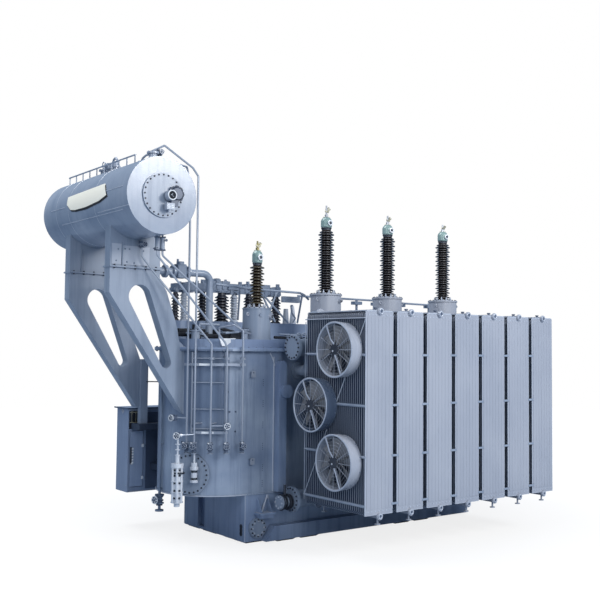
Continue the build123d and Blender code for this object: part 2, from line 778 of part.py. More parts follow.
# Gas relay: a cast body with a domed lid between two flanges
with BuildPart() as gas_relay:
    disc((-3300, 0, main_z), (1, 0, 0), 100, 22)
    disc((-3300, 0, main_z), (1, 0, 0), 64, 260)
    disc((-3062, 0, main_z), (1, 0, 0), 100, 22)
    with BuildSketch(Plane.XY.offset(main_z - 95)):
        with Locations((-3170, 0)):
            RectangleRounded(170, 170, 30)
    extrude(amount=200)
    disc((-3170, 0, main_z + 105), (0, 0, 1), 98, 18)
    disc((-3170, 0, main_z + 123), (0, 0, 1), 60, 44)
    disc((-3215, 0, main_z + 167), (0, 0, 1), 18, 40)
write(gas_relay, "gas_relay")


def beside_tank(angle, reach, height):
    turn = radians(angle)
    return (reach * cos(turn) - end_centre, reach * sin(turn), height)


# Pipes that run down the rounded end, each held by two clamps on the wall
pipe_angles = (213.7, 220.6, 234.4, 247.5, 261.6)
branch_start = beside_tank(pipe_angles[1], pipe_reach, 1685)
branch_end = (-3475, -666, 1685)
side_branch = beside_tank(203, 1050, 1928)
with BuildPart() as oil_pipes:
    rod(branch_start, branch_end, 13)
    rod(beside_tank(pipe_angles[0], pipe_reach, 1928), side_branch, 13)
    valve(side_branch, (-0.35, 0.93, 0), 24)
    wheel(side_branch, (-0.93, -0.35, 0), 80, 50)
    rod(beside_tank(pipe_angles[2], pipe_reach, 1817), beside_tank(pipe_angles[3], pipe_reach, 1817), 13)
    disc(beside_tank(pipe_angles[3], pipe_reach, 1780), (0, 0, 1), 40, 74)
    wheel(beside_tank(pipe_angles[3], pipe_reach, 1817), (-0.38, -0.92, 0), 84, 48)
    pipe(
        ((-4200, -1000, 5714), (-3426, -600, 5734), (-3361, -570, 5547), beside_tank(213.7, pipe_reach, 5300),
         beside_tank(213.7, pipe_reach, 1555)), pipe_radius, 30,
    )
    pipe(
        ((conservator_x, -887, 5830), (-3871, -700, 5982), (-3358, -665, 5718),
         beside_tank(220.6, pipe_reach, 5600), beside_tank(220.6, pipe_reach, 1555)), pipe_radius, 40,
    )
    pipe(
        ((-4080, -450, 4600), (-4080, -450, 4340), (-3925, -500, 4128), beside_tank(234.4, pipe_reach, 3046),
         beside_tank(234.4, pipe_reach, 1555)), pipe_radius, 60,
    )
    pipe(
        ((-4013, -800, 4640), (-4010, -800, 4330), (-2918, -945, 3079), beside_tank(247.5, pipe_reach, 2990),
         beside_tank(247.5, pipe_reach, 1555)), pipe_radius, 30,
    )
    pipe(
        ((-3931, -800, 4660), (-3927, -800, 4330), (-2640, -750, 3392), (-2426, -720, 3245),
         (neutral_x, bushing_y, 3190)), pipe_radius, 60,
    )
    with BuildSketch(Plane.XY.offset(raised_top)):
        with Locations((neutral_x, bushing_y)):
            Circle(neutral_turret_radius)
    extrude(amount=neutral_turret_high - raised_top, mode=Mode.SUBTRACT)
    pipe(
        ((-2800, -600, raised_top), (-2800, -600, 3300), (-2700, -870, 3340),
         beside_tank(261.6, pipe_reach, 3250), beside_tank(261.6, pipe_reach, 1555)), pipe_radius, 25,
    )
    for angle in pipe_angles:
        foot_angle = angle + (clamp_turn if angle > 215 else -clamp_turn)
        for height in clamp_heights:
            rod(beside_tank(foot_angle, tank_radius - 10, height), beside_tank(angle, pipe_reach, height), 11)
        if angle > 230:
            disc(beside_tank(angle, pipe_reach, 2816), (0, 0, 1), 38, 28)
    with BuildSketch(Plane.XZ.offset(-conservator_near)):
        with Locations((conservator_x, conservator_z)):
            Circle(conservator_radius)
    extrude(amount=conservator_near - conservator_far, mode=Mode.SUBTRACT)
    with BuildSketch(Plane.XY.offset(base_height)):
        SlotCenterToCenter(base_length, base_width)
    extrude(amount=tank_top - base_height, mode=Mode.SUBTRACT)
write(oil_pipes, "oil_pipes")

# Valves at the foot of the pipes, each with a flange pair and a handwheel
with BuildPart() as pipe_valves:
    for angle in pipe_angles:
        valve(beside_tank(angle, pipe_reach, 1555), (0, 0, -1), 24)
        disc(beside_tank(angle, pipe_reach, 1490), (0, 0, -1), 12, 80)
        disc(beside_tank(angle, pipe_reach, 1412), (0, 0, -1), 36, 12)
        outward = Vector(*beside_tank(angle, 1, 0)) - Vector(*beside_tank(angle, 0, 0))
        wheel(beside_tank(angle, pipe_reach, 1512), outward, 62, 44)
write(pipe_valves, "pipe_valves")

# Ladder on the rounded end
with BuildPart() as ladder:
    for angle in ladder_angles:
        disc(beside_tank(angle, ladder_reach, ladder_low), (0, 0, 1), 14, ladder_high - ladder_low)
        for height in (ladder_low + 60, ladder_high - 60):
            rod(beside_tank(angle, tank_radius, height), beside_tank(angle, ladder_reach, height), 12)
    for height in ladder_rungs:
        rod(beside_tank(ladder_angles[0], ladder_reach, height), beside_tank(ladder_angles[1], ladder_reach, height), 9)
write(ladder, "ladder")

# Breathers that hang on branches of the pipes, one with a slotted cage
with BuildPart() as breathers:
    long_x, short_x, hang_y = -3539, -3251, -665
    disc(branch_end, Vector(*branch_end) - Vector(*branch_start), 26, 70)
    wheel((long_x, hang_y, 1685), (-1, -1, 0), 70, 48)
    disc((long_x, hang_y, 1715), (0, 0, -1), 15, 320)
    for height in (1560, 1480, 1400):
        disc((long_x, hang_y, height), (0, 0, -1), 40, 12)
    disc((long_x, hang_y, 1270), (0, 0, 1), 30, 132)
    disc((long_x, hang_y, 1213), (0, 0, 1), 92, 60)
    disc((long_x, hang_y, 1213), (0, 0, -1), 62, 515)
    for turn in range(6):
        side = radians(60 * turn)
        disc((long_x + 78 * cos(side), hang_y + 78 * sin(side), 1213), (0, 0, -1), 9, 515)
    for height in (1020, 860, 710):
        disc((long_x, hang_y, height), (0, 0, -1), 92, 12)
    disc((long_x, hang_y, 700), (0, 0, -1), 44, 62)
    disc((short_x, hang_y, 1255), (0, 0, 1), 15, 145)
    disc((short_x, hang_y, 1250), (0, 0, 1), 44, 14)
    disc((short_x, hang_y, 991), (0, 0, 1), 46, 268)
    disc((short_x, hang_y, 1160), (0, 0, 1), 62, 40)
    disc((short_x, hang_y, 971), (0, 0, 1), 60, 34)
write(breathers, "breathers")

# Drain pipe down the rounded end, with a valve below it
with BuildPart() as drain_pipe:
    disc(beside_tank(176, drain_reach, 2480), (0, 0, -1), drain_radius, 1770)
    for height in (2380, 1480, 800):
        rod(beside_tank(176, tank_radius, height), beside_tank(176, drain_reach, height), 16)
    valve(beside_tank(176, drain_reach, 710), (0, 0, -1), 46)
    disc(beside_tank(176, drain_reach, 575), (0, 0, -1), 22, 110)
    disc(beside_tank(176, drain_reach, 480), (0, 0, -1), 66, 24)
    wheel(beside_tank(176, drain_reach, 640), (-1, -0.4, 0), 96, 62)
write(drain_pipe, "drain_pipe")

# Blind flange low on the side wall
with BuildPart() as side_flange:
    disc((-2262, -tank_radius, 229), (0, -1, 0), 155, 22)
    disc((-2262, -tank_radius - 22, 229), (0, -1, 0), 150, 18)
write(side_flange, "side_flange")

# Control cabinet with an overhanging roof, a small window, a handle recess and a narrow doorway
with BuildPart() as control_cabinet:
    middle_x = (cabinet_left + cabinet_right) / 2
    middle_y = (cabinet_front + cabinet_back) / 2
    with BuildSketch(Plane.XY.offset(cabinet_low)):
        with Locations((middle_x, middle_y)):
            Rectangle(cabinet_right - cabinet_left, cabinet_back - cabinet_front)
    extrude(amount=cabinet_high - cabinet_low)
    with BuildSketch(Plane.XY.offset(cabinet_high)):
        with Locations((middle_x, middle_y)):
            Rectangle(cabinet_right - cabinet_left + 80, cabinet_back - cabinet_front + 76)
    extrude(amount=roof_rise, taper=30)
    with BuildSketch(Plane.XZ.offset(-cabinet_front)):
        with Locations(((door_left + door_right) / 2, (door_low + door_high) / 2)):
            Rectangle(door_right - door_left, door_high - door_low)
    extrude(amount=-(cabinet_back - cabinet_front - cabinet_wall), mode=Mode.SUBTRACT)
    with BuildSketch(Plane.XZ.offset(-cabinet_front)):
        with Locations((-3300, 1795)):
            Rectangle(120, 270)
    extrude(amount=-18, mode=Mode.SUBTRACT)
    for height in hinge_heights:
        with BuildSketch(Plane.XY.offset(height - 30)):
            with Locations((hinge_x, hinge_y)):
                Circle(hinge_radius)
            with Locations((hinge_x + 14, cabinet_front - 7)):
                Rectangle(40, 14)
        extrude(amount=30)
        with BuildSketch(Plane.XY.offset(height)):
            with Locations((hinge_x, hinge_y)):
                Circle(pin_radius)
        extrude(amount=26)
write(control_cabinet, "control_cabinet")

with BuildPart() as cabinet_door:
    with BuildSketch(Plane.XZ.offset(-cabinet_front - door_thickness)):
        with Locations(((door_left + door_right) / 2, (door_low + door_high) / 2)):
            Rectangle(door_right - door_left - 2 * door_gap, door_high - door_low - 2 * door_gap)
    extrude(amount=door_thickness)
    with BuildSketch(Plane.XZ.offset(-cabinet_front)):
        with Locations((door_left + door_gap + 34, 1185)):
            Rectangle(44, 290)
    extrude(amount=-10, mode=Mode.SUBTRACT)
    with BuildSketch(Plane.XZ.offset(-cabinet_front - 10)):
        with Locations((door_left + door_gap + 34, 1185)):
            Rectangle(14, 200)
    extrude(amount=12)
    for height in hinge_heights:
        with BuildSketch(Plane.XY.offset(height + 1)):
            with Locations((hinge_x, hinge_y)):
                Circle(hinge_radius)
            with Locations((hinge_x - 16, hinge_y)):
                Rectangle(32, 10)
            with Locations((hinge_x - 34, cabinet_front - 8)):
                Rectangle(40, 17)
        extrude(amount=30)
        with BuildSketch(Plane.XY.offset(height + 1)):
            with Locations((hinge_x, hinge_y)):
                Circle(pin_radius + pin_clearance)
        extrude(amount=30, mode=Mode.SUBTRACT)
write(cabinet_door, "cabinet_door")

# Beams that hang the cabinet on the tank, the upper one also under the post
with BuildPart() as cabinet_beams:
    for left, low, high in ((-3360, beam_low, beam_high), (-3000, beam_low - 680, beam_high - 680)):
        with BuildSketch(Plane.XY.offset(low)):
            with Locations(((left + cabinet_right) / 2, (tank_radius + cabinet_front) / 2)):
                Rectangle(cabinet_right - left, cabinet_front - tank_radius)
        extrude(amount=high - low)
write(cabinet_beams, "cabinet_beams")
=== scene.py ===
import bpy
import bmesh
import math
from mathutils import Matrix, Vector


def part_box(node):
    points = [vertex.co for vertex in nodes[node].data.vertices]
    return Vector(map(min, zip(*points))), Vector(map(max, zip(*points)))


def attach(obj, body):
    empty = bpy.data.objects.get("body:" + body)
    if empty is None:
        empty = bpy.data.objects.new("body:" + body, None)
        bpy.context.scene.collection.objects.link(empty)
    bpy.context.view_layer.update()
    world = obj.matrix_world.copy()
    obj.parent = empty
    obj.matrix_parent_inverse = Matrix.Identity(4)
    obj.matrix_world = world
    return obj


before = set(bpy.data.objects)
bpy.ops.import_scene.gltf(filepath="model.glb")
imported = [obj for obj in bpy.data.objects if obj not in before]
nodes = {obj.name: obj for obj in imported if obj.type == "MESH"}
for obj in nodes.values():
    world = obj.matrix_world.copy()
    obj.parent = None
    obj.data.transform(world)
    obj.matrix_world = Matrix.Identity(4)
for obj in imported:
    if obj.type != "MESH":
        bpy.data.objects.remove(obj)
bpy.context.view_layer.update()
print("stage: frame loaded,", len(nodes), "nodes")

# Directions, and the heights and rows that several pieces share, in metres
toTop, toFloor, toFront, toBack = (0, 0, 1), (0, 0, -1), (0, -1, 0), (0, 1, 0)
toLeft, toRight = (-1, 0, 0), (1, 0, 0)
highPlaces, neutralPlace = (-0.605, 0.825, 2.255), -2.035
bushingRow, rearRow = -0.5, 0.5
highTop, neutralTop = 3.925, 3.63
tankEnd, coverTop = 2.482, 3.126


# A shader node: a plain value sets its socket, another node's output is linked to it
def addNode(tree, kind, inputs=None, **options):
    node = tree.nodes.new("ShaderNode" + kind)
    for option, value in options.items():
        setattr(node, option, value)
    for socket, value in (inputs or {}).items():
        if isinstance(value, bpy.types.NodeSocket):
            tree.links.new(value, node.inputs[socket])
        else:
            node.inputs[socket].default_value = value
    return node


def remap(tree, value, start, end, low=0, high=1):
    sockets = {"Value": value, "From Min": start, "From Max": end, "To Min": low, "To Max": high}
    return addNode(tree, "MapRange", sockets).outputs[0]


def solve(tree, operation, *values, **options):
    return addNode(tree, "Math", dict(enumerate(values)), operation=operation, **options).outputs[0]


def tint(tree, colour, factor, other):
    sockets = {"Factor": factor, "A": colour, "B": (*other, 1)}
    return addNode(tree, "Mix", sockets, data_type="RGBA").outputs["Result"]


# Stage: floor, backdrop, lights and the camera of the photograph
stageSettings = {
    "floorColour": (1.0, 1.0, 1.0),
    "floorSize": 60,
    "floorGlow": (0.82, 1.0),  # how white the camera sees the floor: near the object, far away
    "floorFade": (3, 9),  # where that change starts and ends
    "floorShade": (0.15, 0.17),  # how much of the shadow the camera sees
    "floorBounce": (0.36, 0.43, 0.52),  # light thrown back on the object
    "backdropLight": 0.44,  # how strongly the bluish surround lights the object
    "backdropColour": (0.5, 0.7, 1.0),
    "keyPower": 2700, "keySize": 7, "keyPlace": (4.5, -17, 12),
    "frontPower": 900, "frontSize": 7, "frontPlace": (-6, -19, 8),
    "sidePower": 520, "sideSize": 6, "sidePlace": (-17, -7, 10),
    "rimPower": 1750, "rimSize": 8, "rimPlace": (-7, 5, 17),
    "lampTarget": (-0.5, -0.8, 2.2),
    "cameraPlace": (-10.263, -12.429, 2.976),
    "cameraYaw": 37.352, "cameraPitch": 3.158, "cameraRoll": 0.5896,
    "cameraLens": 53.91,
}


def makeStage(s):
    scene = bpy.context.scene
    scene.render.engine = "CYCLES"
    scene.view_settings.view_transform = "Standard"
    world = bpy.data.worlds.new("surround")
    scene.world = world
    world.use_nodes = True
    tree = world.node_tree
    tree.nodes.clear()
    path = addNode(tree, "LightPath")
    seen = addNode(tree, "Background", {"Color": (1, 1, 1, 1), "Strength": 1})
    light = addNode(tree, "Background", {"Color": (*s["backdropColour"], 1), "Strength": s["backdropLight"]})
    mix = addNode(tree, "MixShader", {
        "Fac": path.outputs["Is Camera Ray"], 1: light.outputs[0], 2: seen.outputs[0],
    })
    addNode(tree, "OutputWorld", {0: mix.outputs[0]})

    for name in ("key", "front", "side", "rim"):
        lamp = bpy.data.lights.new(name, "AREA")
        lamp.energy = s[name + "Power"]
        lamp.size = s[name + "Size"]
        lampObject = bpy.data.objects.new(name, lamp)
        lampObject.location = s[name + "Place"]
        aim = Vector(s["lampTarget"]) - Vector(s[name + "Place"])
        lampObject.rotation_euler = aim.to_track_quat("-Z", "Y").to_euler()
        scene.collection.objects.link(lampObject)

    yaw, pitch, roll = (math.radians(s[k]) for k in ("cameraYaw", "cameraPitch", "cameraRoll"))
    flat = math.cos(pitch)
    forward = Vector((math.sin(yaw) * flat, math.cos(yaw) * flat, math.sin(pitch)))
    level = Vector((math.cos(yaw), -math.sin(yaw), 0))
    lift = level.cross(forward)
    right = math.cos(roll) * level + math.sin(roll) * lift
    up = -math.sin(roll) * level + math.cos(roll) * lift
    camera = bpy.data.cameras.new("camera")
    camera.lens = s["cameraLens"]
    camera.sensor_width = 36
    camera.clip_end = 200
    cameraObject = bpy.data.objects.new("camera", camera)
    turn = Matrix((right, up, -forward)).transposed().to_4x4()
    cameraObject.matrix_world = Matrix.Translation(Vector(s["cameraPlace"])) @ turn
    scene.collection.objects.link(cameraObject)
    scene.camera = cameraObject

    mesh = bpy.data.meshes.new("floor")
    half = s["floorSize"] / 2
    corners = [(-half, -half, 0), (half, -half, 0), (half, half, 0), (-half, half, 0)]
    mesh.from_pydata(corners, [], [(0, 1, 2, 3)])
    floor = bpy.data.objects.new("floor", mesh)
    scene.collection.objects.link(floor)
    mesh.materials.append(makeFloorPaint(s))


def makeFloorPaint(s):
    # The camera sees it white with a faint shadow; other rays meet a plain pale floor
    paint = bpy.data.materials.new("pale_floor")
    paint.use_nodes = True
    tree = paint.node_tree
    tree.nodes.clear()
    path, place = addNode(tree, "LightPath"), addNode(tree, "TexCoord")
    away = addNode(tree, "VectorMath", {0: place.outputs["Object"]}, operation="LENGTH")
    strength = remap(tree, away.outputs["Value"], *s["floorFade"], *s["floorGlow"])
    glow = addNode(tree, "Emission", {"Color": (*s["floorColour"], 1), "Strength": strength})
    grain = addNode(tree, "TexNoise", {"Scale": 3})
    tone = remap(tree, grain.outputs["Fac"], 0, 1, *s["floorShade"])
    shade = addNode(tree, "BsdfDiffuse", {"Color": tone})
    seen = addNode(tree, "AddShader", {0: glow.outputs[0], 1: shade.outputs[0]})
    bounce = addNode(tree, "BsdfDiffuse", {"Color": (*s["floorBounce"], 1)})
    both = addNode(tree, "MixShader", {
        "Fac": path.outputs["Is Camera Ray"], 1: bounce.outputs[0], 2: seen.outputs[0],
    })
    addNode(tree, "OutputMaterial", {0: both.outputs[0]})
    return paint


makeStage(stageSettings)
print("stage: floor, lights and camera made")

# Finishes: colour, second colour, a dark tone for weathering and painted reflections, and what a user would
# change from the plain one
plainFinish = {"rough": 0.36, "metal": 0.0, "streaks": 0.3, "bump": 0.04, "coat": 0.2}
finishRows = {
    "midPaint": ((0.275, 0.318, 0.39), (0.215, 0.258, 0.33), (0.105, 0.138, 0.198), {
        "rough": 0.32, "streaks": 0.5, "coat": 0.25}),
    "bluePaint": ((0.19, 0.232, 0.305), (0.14, 0.18, 0.25), (0.07, 0.095, 0.145), {
        "streaks": 0.5, "bump": 0.05}),
    # The tank's strong runs are partly painted reflections, and its band is a painted dark reflection
    "tankPaint": ((0.31, 0.362, 0.445), (0.172, 0.22, 0.31), (0.098, 0.132, 0.2), {
        "rough": 0.28, "streaks": 0.8, "bump": 0.05, "coat": 0.35,
        "darkReflectionBand": (-3.13, 0.36, (0.085, 0.122, 0.195))}),
    "basePaint": ((0.25, 0.315, 0.435), (0.172, 0.226, 0.34), (0.08, 0.113, 0.185), {
        "rough": 0.34, "streaks": 0.5, "bump": 0.05, "coat": 0.25}),
    "cabinetPaint": ((0.225, 0.275, 0.375), (0.182, 0.228, 0.325), (0.1, 0.132, 0.198), {
        }),
    # The door takes a lighter copy of the cabinet's paint: painted light on its front
    "litDoorPaint": ((0.285, 0.35, 0.475), (0.235, 0.295, 0.415), (0.13, 0.17, 0.255), {
        }),
    "shadePaint": ((0.105, 0.14, 0.205), (0.08, 0.11, 0.168), (0.045, 0.063, 0.1), {
        }),
    "footPaint": ((0.03, 0.044, 0.072), (0.022, 0.032, 0.055), (0.014, 0.02, 0.034), {
        "rough": 0.5, "bump": 0.05, "coat": 0.0}),
    "sootPaint": ((0.01, 0.012, 0.017), (0.014, 0.016, 0.022), (0.006, 0.007, 0.01), {
        "rough": 0.9, "streaks": 0.1, "bump": 0.02, "coat": 0.0}),
    "duskPaint": ((0.07, 0.095, 0.15), (0.05, 0.07, 0.115), (0.028, 0.04, 0.068), {
        "rough": 0.38, "streaks": 0.4, "bump": 0.05}),
    "radiatorPaint": ((0.335, 0.355, 0.405), (0.3, 0.322, 0.375), (0.19, 0.215, 0.27), {
        "rough": 0.4, "streaks": 0.22, "coat": 0.15}),
    "drumPaint": ((0.32, 0.358, 0.428), (0.215, 0.26, 0.335), (0.108, 0.142, 0.21), {
        "rough": 0.2, "streaks": 0.28, "coat": 0.35}),
    "palePaint": ((0.4, 0.435, 0.5), (0.36, 0.395, 0.46), (0.24, 0.27, 0.33), {
        "rough": 0.38, "streaks": 0.2, "bump": 0.03}),
    "headPaint": ((0.26, 0.36, 0.335), (0.21, 0.31, 0.295), (0.12, 0.18, 0.17), {
        "rough": 0.34, "metal": 0.1, "streaks": 0.2, "bump": 0.03, "coat": 0.3}),
    "brownGlaze": ((0.016, 0.011, 0.01), (0.03, 0.019, 0.014), (0.01, 0.008, 0.008), {
        "rough": 0.26, "streaks": 0.25, "bump": 0.02, "coat": 0.6}),
    "rimGlaze": ((0.02, 0.021, 0.026), (0.032, 0.03, 0.032), (0.012, 0.012, 0.014), {
        "rough": 0.3, "streaks": 0.25, "bump": 0.02, "coat": 0.3, "split": (-1.4, (0.058, 0.046, 0.024))}),
    "blackGlaze": ((0.022, 0.023, 0.03), (0.045, 0.045, 0.06), (0.012, 0.013, 0.018), {
        "rough": 0.25, "streaks": 0.25, "bump": 0.02, "coat": 0.5}),
    "greyGlaze": ((0.5, 0.54, 0.6), (0.41, 0.45, 0.52), (0.2, 0.23, 0.29), {
        "rough": 0.3, "streaks": 0.25, "bump": 0.02, "coat": 0.4}),
    "brass": ((0.5, 0.46, 0.34), (0.42, 0.4, 0.3), (0.23, 0.24, 0.17), {
        "metal": 0.7, "bump": 0.03, "coat": 0.0}),
    "clampMetal": ((0.55, 0.56, 0.57), (0.45, 0.46, 0.48), (0.25, 0.26, 0.28), {
        "rough": 0.34, "metal": 0.6, "bump": 0.03, "coat": 0.0, "split": (-1.4, (0.34, 0.29, 0.13))}),
    "galvanised": ((0.33, 0.365, 0.43), (0.27, 0.305, 0.37), (0.15, 0.18, 0.235), {
        "rough": 0.32, "metal": 0.25, "streaks": 0.25, "coat": 0.0}),
    "fanBrown": ((0.275, 0.27, 0.275), (0.235, 0.232, 0.24), (0.16, 0.16, 0.17), {
        "rough": 0.4, "metal": 0.1, "streaks": 0.2, "bump": 0.03, "coat": 0.0}),
    "darkSteel": ((0.03, 0.035, 0.048), (0.045, 0.05, 0.065), (0.015, 0.018, 0.025), {
        "rough": 0.45, "metal": 0.3, "streaks": 0.2, "bump": 0.03, "coat": 0.0}),
    "brightSteel": ((0.64, 0.66, 0.7), (0.52, 0.55, 0.6), (0.28, 0.31, 0.37), {
        "rough": 0.26, "metal": 0.15, "streaks": 0.15, "bump": 0.02, "coat": 0.0}),
    # The blank sign glows faintly: painted light that makes it read whiter
    "blankSign": ((0.84, 0.81, 0.7), (0.8, 0.76, 0.64), (0.72, 0.68, 0.55), {
        "rough": 0.45, "streaks": 0.08, "bump": 0.01, "glow": 0.17}),
    "whiteRing": ((0.78, 0.79, 0.8), (0.7, 0.72, 0.74), (0.5, 0.52, 0.55), {
        "rough": 0.3, "streaks": 0.1, "bump": 0.01, "coat": 0.3}),
    "darkGlass": ((0.008, 0.01, 0.014), (0.016, 0.018, 0.024), (0.006, 0.007, 0.009), {
        "rough": 0.08, "streaks": 0.1, "bump": 0.0, "coat": 0.8}),
}
finishes = {
    name: {**plainFinish, "colour": colour, "second": second, "grimeAndReflection": grimeAndReflection, **changes}
    for name, (colour, second, grimeAndReflection, changes) in finishRows.items()
}
# Radiator plates carry painted shade on the plates behind the front one
finishes["finPaint"] = {
    **finishes["radiatorPaint"], "rough": 0.34, "coat": 0.3,
    "paintedShadeBehind": (-2.85, (0.07, 0.095, 0.145)), "paintedShadeTop": 3.436,
}
# The middle fan's shroud stands in the shade of the others, so it takes the darker shade paint: painted shade
fanCentres = ((-2.394, 2.98), (-1.84, 2.155), (-2.394, 1.358))
for fanNumber, tone in enumerate(("radiatorPaint", "shadePaint", "radiatorPaint")):
    finishes[f"shroudPaint{fanNumber + 1}"] = {
        **finishes[tone], "rough": 0.26, "core": (*fanCentres[fanNumber], 0.36, (0.1, 0.105, 0.12)),
    }
# Clouds, runs, dirt near the ground and fine grain, the same in every finish; on the tank the runs are partly
# painted reflections
grainSettings = {
    "cloudScale": 0.9, "cloudEdge": (0.38, 0.62),
    "runStretch": (7, 7, 0.42), "runScale": 1.3, "runEdge": (0.48, 0.74),
    "groundGrime": (0.0, 0.9, 0.3, 0.0),  # from height, to height, share there and there
    "grainScale": 60, "grainDepth": 0.02, "wear": (0.07, 0.1), "coatRough": 0.18,
}


# Two tones in soft clouds, darker runs down the wall (weathering, and on the tank partly painted
# reflections), dirt near the ground and a fine grain
def makePaint(name, s, g):
    paint = bpy.data.materials.new(name)
    paint.use_nodes = True
    tree = paint.node_tree
    skin = tree.nodes["Principled BSDF"]
    place = addNode(tree, "TexCoord")
    here = place.outputs["Object"]
    clouds = addNode(tree, "TexNoise", {"Vector": here, "Scale": g["cloudScale"], "Detail": 5})
    soft = remap(tree, clouds.outputs["Fac"], *g["cloudEdge"])
    colour = tint(tree, (*s["colour"], 1), soft, s["second"])
    stretched = addNode(tree, "Mapping", {"Vector": here, "Scale": g["runStretch"]}).outputs[0]
    runs = addNode(tree, "TexNoise", {
        "Vector": stretched, "Scale": g["runScale"], "Detail": 7, "Roughness": 0.62,
    }).outputs["Fac"]
    spot = addNode(tree, "SeparateXYZ", {0: here}).outputs
    streaks = remap(tree, runs, *g["runEdge"], 0, s["streaks"])
    ground = remap(tree, spot["Z"], *g["groundGrime"])
    colour = tint(tree, colour, solve(tree, "ADD", streaks, ground, use_clamp=True), s["grimeAndReflection"])
    if "paintedShadeBehind" in s:
        # Painted shade: plates behind the front one lie in the dark and are painted darker, but their outer
        # edges, which catch the light, and the band above the top tie keep the plain colour
        start, shade = s["paintedShadeBehind"]
        facing = addNode(tree, "SeparateXYZ", {0: place.outputs["Normal"]}).outputs
        edge = solve(tree, "MAXIMUM", solve(tree, "ABSOLUTE", facing["X"]), facing["Z"])
        deep = remap(tree, spot["Y"], start, start + 0.02)
        below = remap(tree, spot["Z"], s["paintedShadeTop"] + 0.005, s["paintedShadeTop"] - 0.005)
        keep = solve(tree, "MULTIPLY_ADD", edge, -0.95, 1)
        share = solve(tree, "MULTIPLY", solve(tree, "MULTIPLY", deep, below), keep)
        colour = tint(tree, colour, share, shade)
    if "split" in s:
        # The piece on the far left is of another tone
        start, other = s["split"]
        colour = tint(tree, colour, remap(tree, spot["X"], start, start - 0.01), other)
    if "darkReflectionBand" in s:
        # A darker upright band on the rounded wall, above the manhole: a painted dark reflection
        middle, half, shade = s["darkReflectionBand"]
        above = remap(tree, spot["Z"], 1.25, 2.1, 0, 0.75)
        share = solve(tree, "MULTIPLY", solve(tree, "COMPARE", spot["X"], middle, half), above)
        colour = tint(tree, colour, share, shade)
    if "core" in s:
        # Painted shade: inside this radius round the fan's axis the arms lie in the dark, so the paint turns
        # dark there
        y, z, radius, shade = s["core"]
        flat = addNode(tree, "VectorMath", {0: here, 1: (0, 1, 1)}, operation="MULTIPLY").outputs[0]
        gap = addNode(tree, "VectorMath", {0: flat, 1: (0, y, z)}, operation="DISTANCE").outputs["Value"]
        colour = tint(tree, colour, remap(tree, gap, radius, radius - 0.01), shade)
    if "glow" in s:
        # A faint glow in the paint's own colour: painted light
        tree.links.new(colour, skin.inputs["Emission Color"])
        skin.inputs["Emission Strength"].default_value = s["glow"]
    smoother, rougher = g["wear"]
    wear = remap(tree, runs, 0, 1, s["rough"] - smoother, s["rough"] + rougher)
    grain = addNode(tree, "TexNoise", {"Vector": here, "Scale": g["grainScale"], "Detail": 3})
    bump = addNode(tree, "Bump", {
        "Height": grain.outputs["Fac"], "Strength": s["bump"], "Distance": g["grainDepth"],
    })
    for socket, value in (("Base Color", colour), ("Roughness", wear), ("Normal", bump.outputs[0])):
        tree.links.new(value, skin.inputs[socket])
    skin.inputs["Metallic"].default_value = s["metal"]
    skin.inputs["Coat Weight"].default_value = s["coat"]
    skin.inputs["Coat Roughness"].default_value = g["coatRough"]
    return paint


paints = {name: makePaint(name, row, grainSettings) for name, row in finishes.items()}
print("stage: finishes made")

# Which CAD nodes take each finish; the others are blue. The blue finishes are lighter and darker copies of
# one paint, given part by part for how much light each part gets, so they carry painted light and shade
nodePaint = {
    "midPaint": ("radiator_ties", "conservator_rail", "conservator_cover", "near_bracket", "far_bracket",
                 "neutral_turret", "main_oil_pipe", "upper_header", "lower_header", "side_flange",
                 "manhole_cover", "bracket_post"),
    "basePaint": ("tank_base", "tank_cover", "wall_stiffeners", "jacking_pads"),
    "finPaint": [f"radiator_{number}" for number in range(1, 8)],
    "fanBrown": [f"fan_rotor_{number}" for number in range(1, 4)],
    "shroudPaint1": ("fan_shroud_1",), "shroudPaint2": ("fan_shroud_2",), "shroudPaint3": ("fan_shroud_3",),
    "brownGlaze": ("hv_bushings", "neutral_bushing"), "headPaint": ("bushing_heads",),
    "clampMetal": ("bushing_terminals",), "blackGlaze": ("dark_rear_bushings",),
    "greyGlaze": ("pale_rear_bushings",), "galvanised": ("oil_pipes", "ladder"),
    "brightSteel": ("breathers",), "drumPaint": ("conservator_shell",), "radiatorPaint": ("hv_turrets",),
    "duskPaint": ("level_gauge",), "tankPaint": ("tank_shell",), "footPaint": ("base_feet", "cabinet_beams"),
    "cabinetPaint": ("control_cabinet",), "litDoorPaint": ("cabinet_door",),
}
finishOf = {nodeName: finish for finish, names in nodePaint.items() for nodeName in names}
for nodeName, node in nodes.items():
    node.data.materials.clear()
    node.data.materials.append(paints[finishOf.get(nodeName, "bluePaint")])
print("stage: CAD nodes painted")


# Angles round a circle, and the way each one points seen from above
def around(count, start=0.0):
    return [start + 2 * math.pi * i / count for i in range(count)]


def flatWay(a):
    return Vector((math.cos(a), math.sin(a), 0))


# Helpers that add simple solids to one mesh
def turnTo(axis):
    return Vector(axis).normalized().to_track_quat("Z", "Y").to_matrix().to_4x4()


def addDrum(bm, start, axis, radius, length, sides=24, endRadius=None):
    place = Matrix.Translation(Vector(start) + Vector(axis).normalized() * length / 2) @ turnTo(axis)
    bmesh.ops.create_cone(bm, cap_ends=True, segments=sides, radius1=radius,
                          radius2=radius if endRadius is None else endRadius, depth=length, matrix=place)


def addRod(bm, start, end, radius, sides=10):
    span = Vector(end) - Vector(start)
    addDrum(bm, start, span, radius, span.length, sides)


def addRun(bm, points, radius, sides=10):
    for start, end in zip(points, points[1:]):
        addRod(bm, start, end, radius, sides)


def addBox(bm, low, high):
    low, high = Vector(low), Vector(high)
    place = Matrix.Translation((low + high) / 2) @ Matrix.Diagonal((*(high - low), 1))
    bmesh.ops.create_cube(bm, size=1, matrix=place)


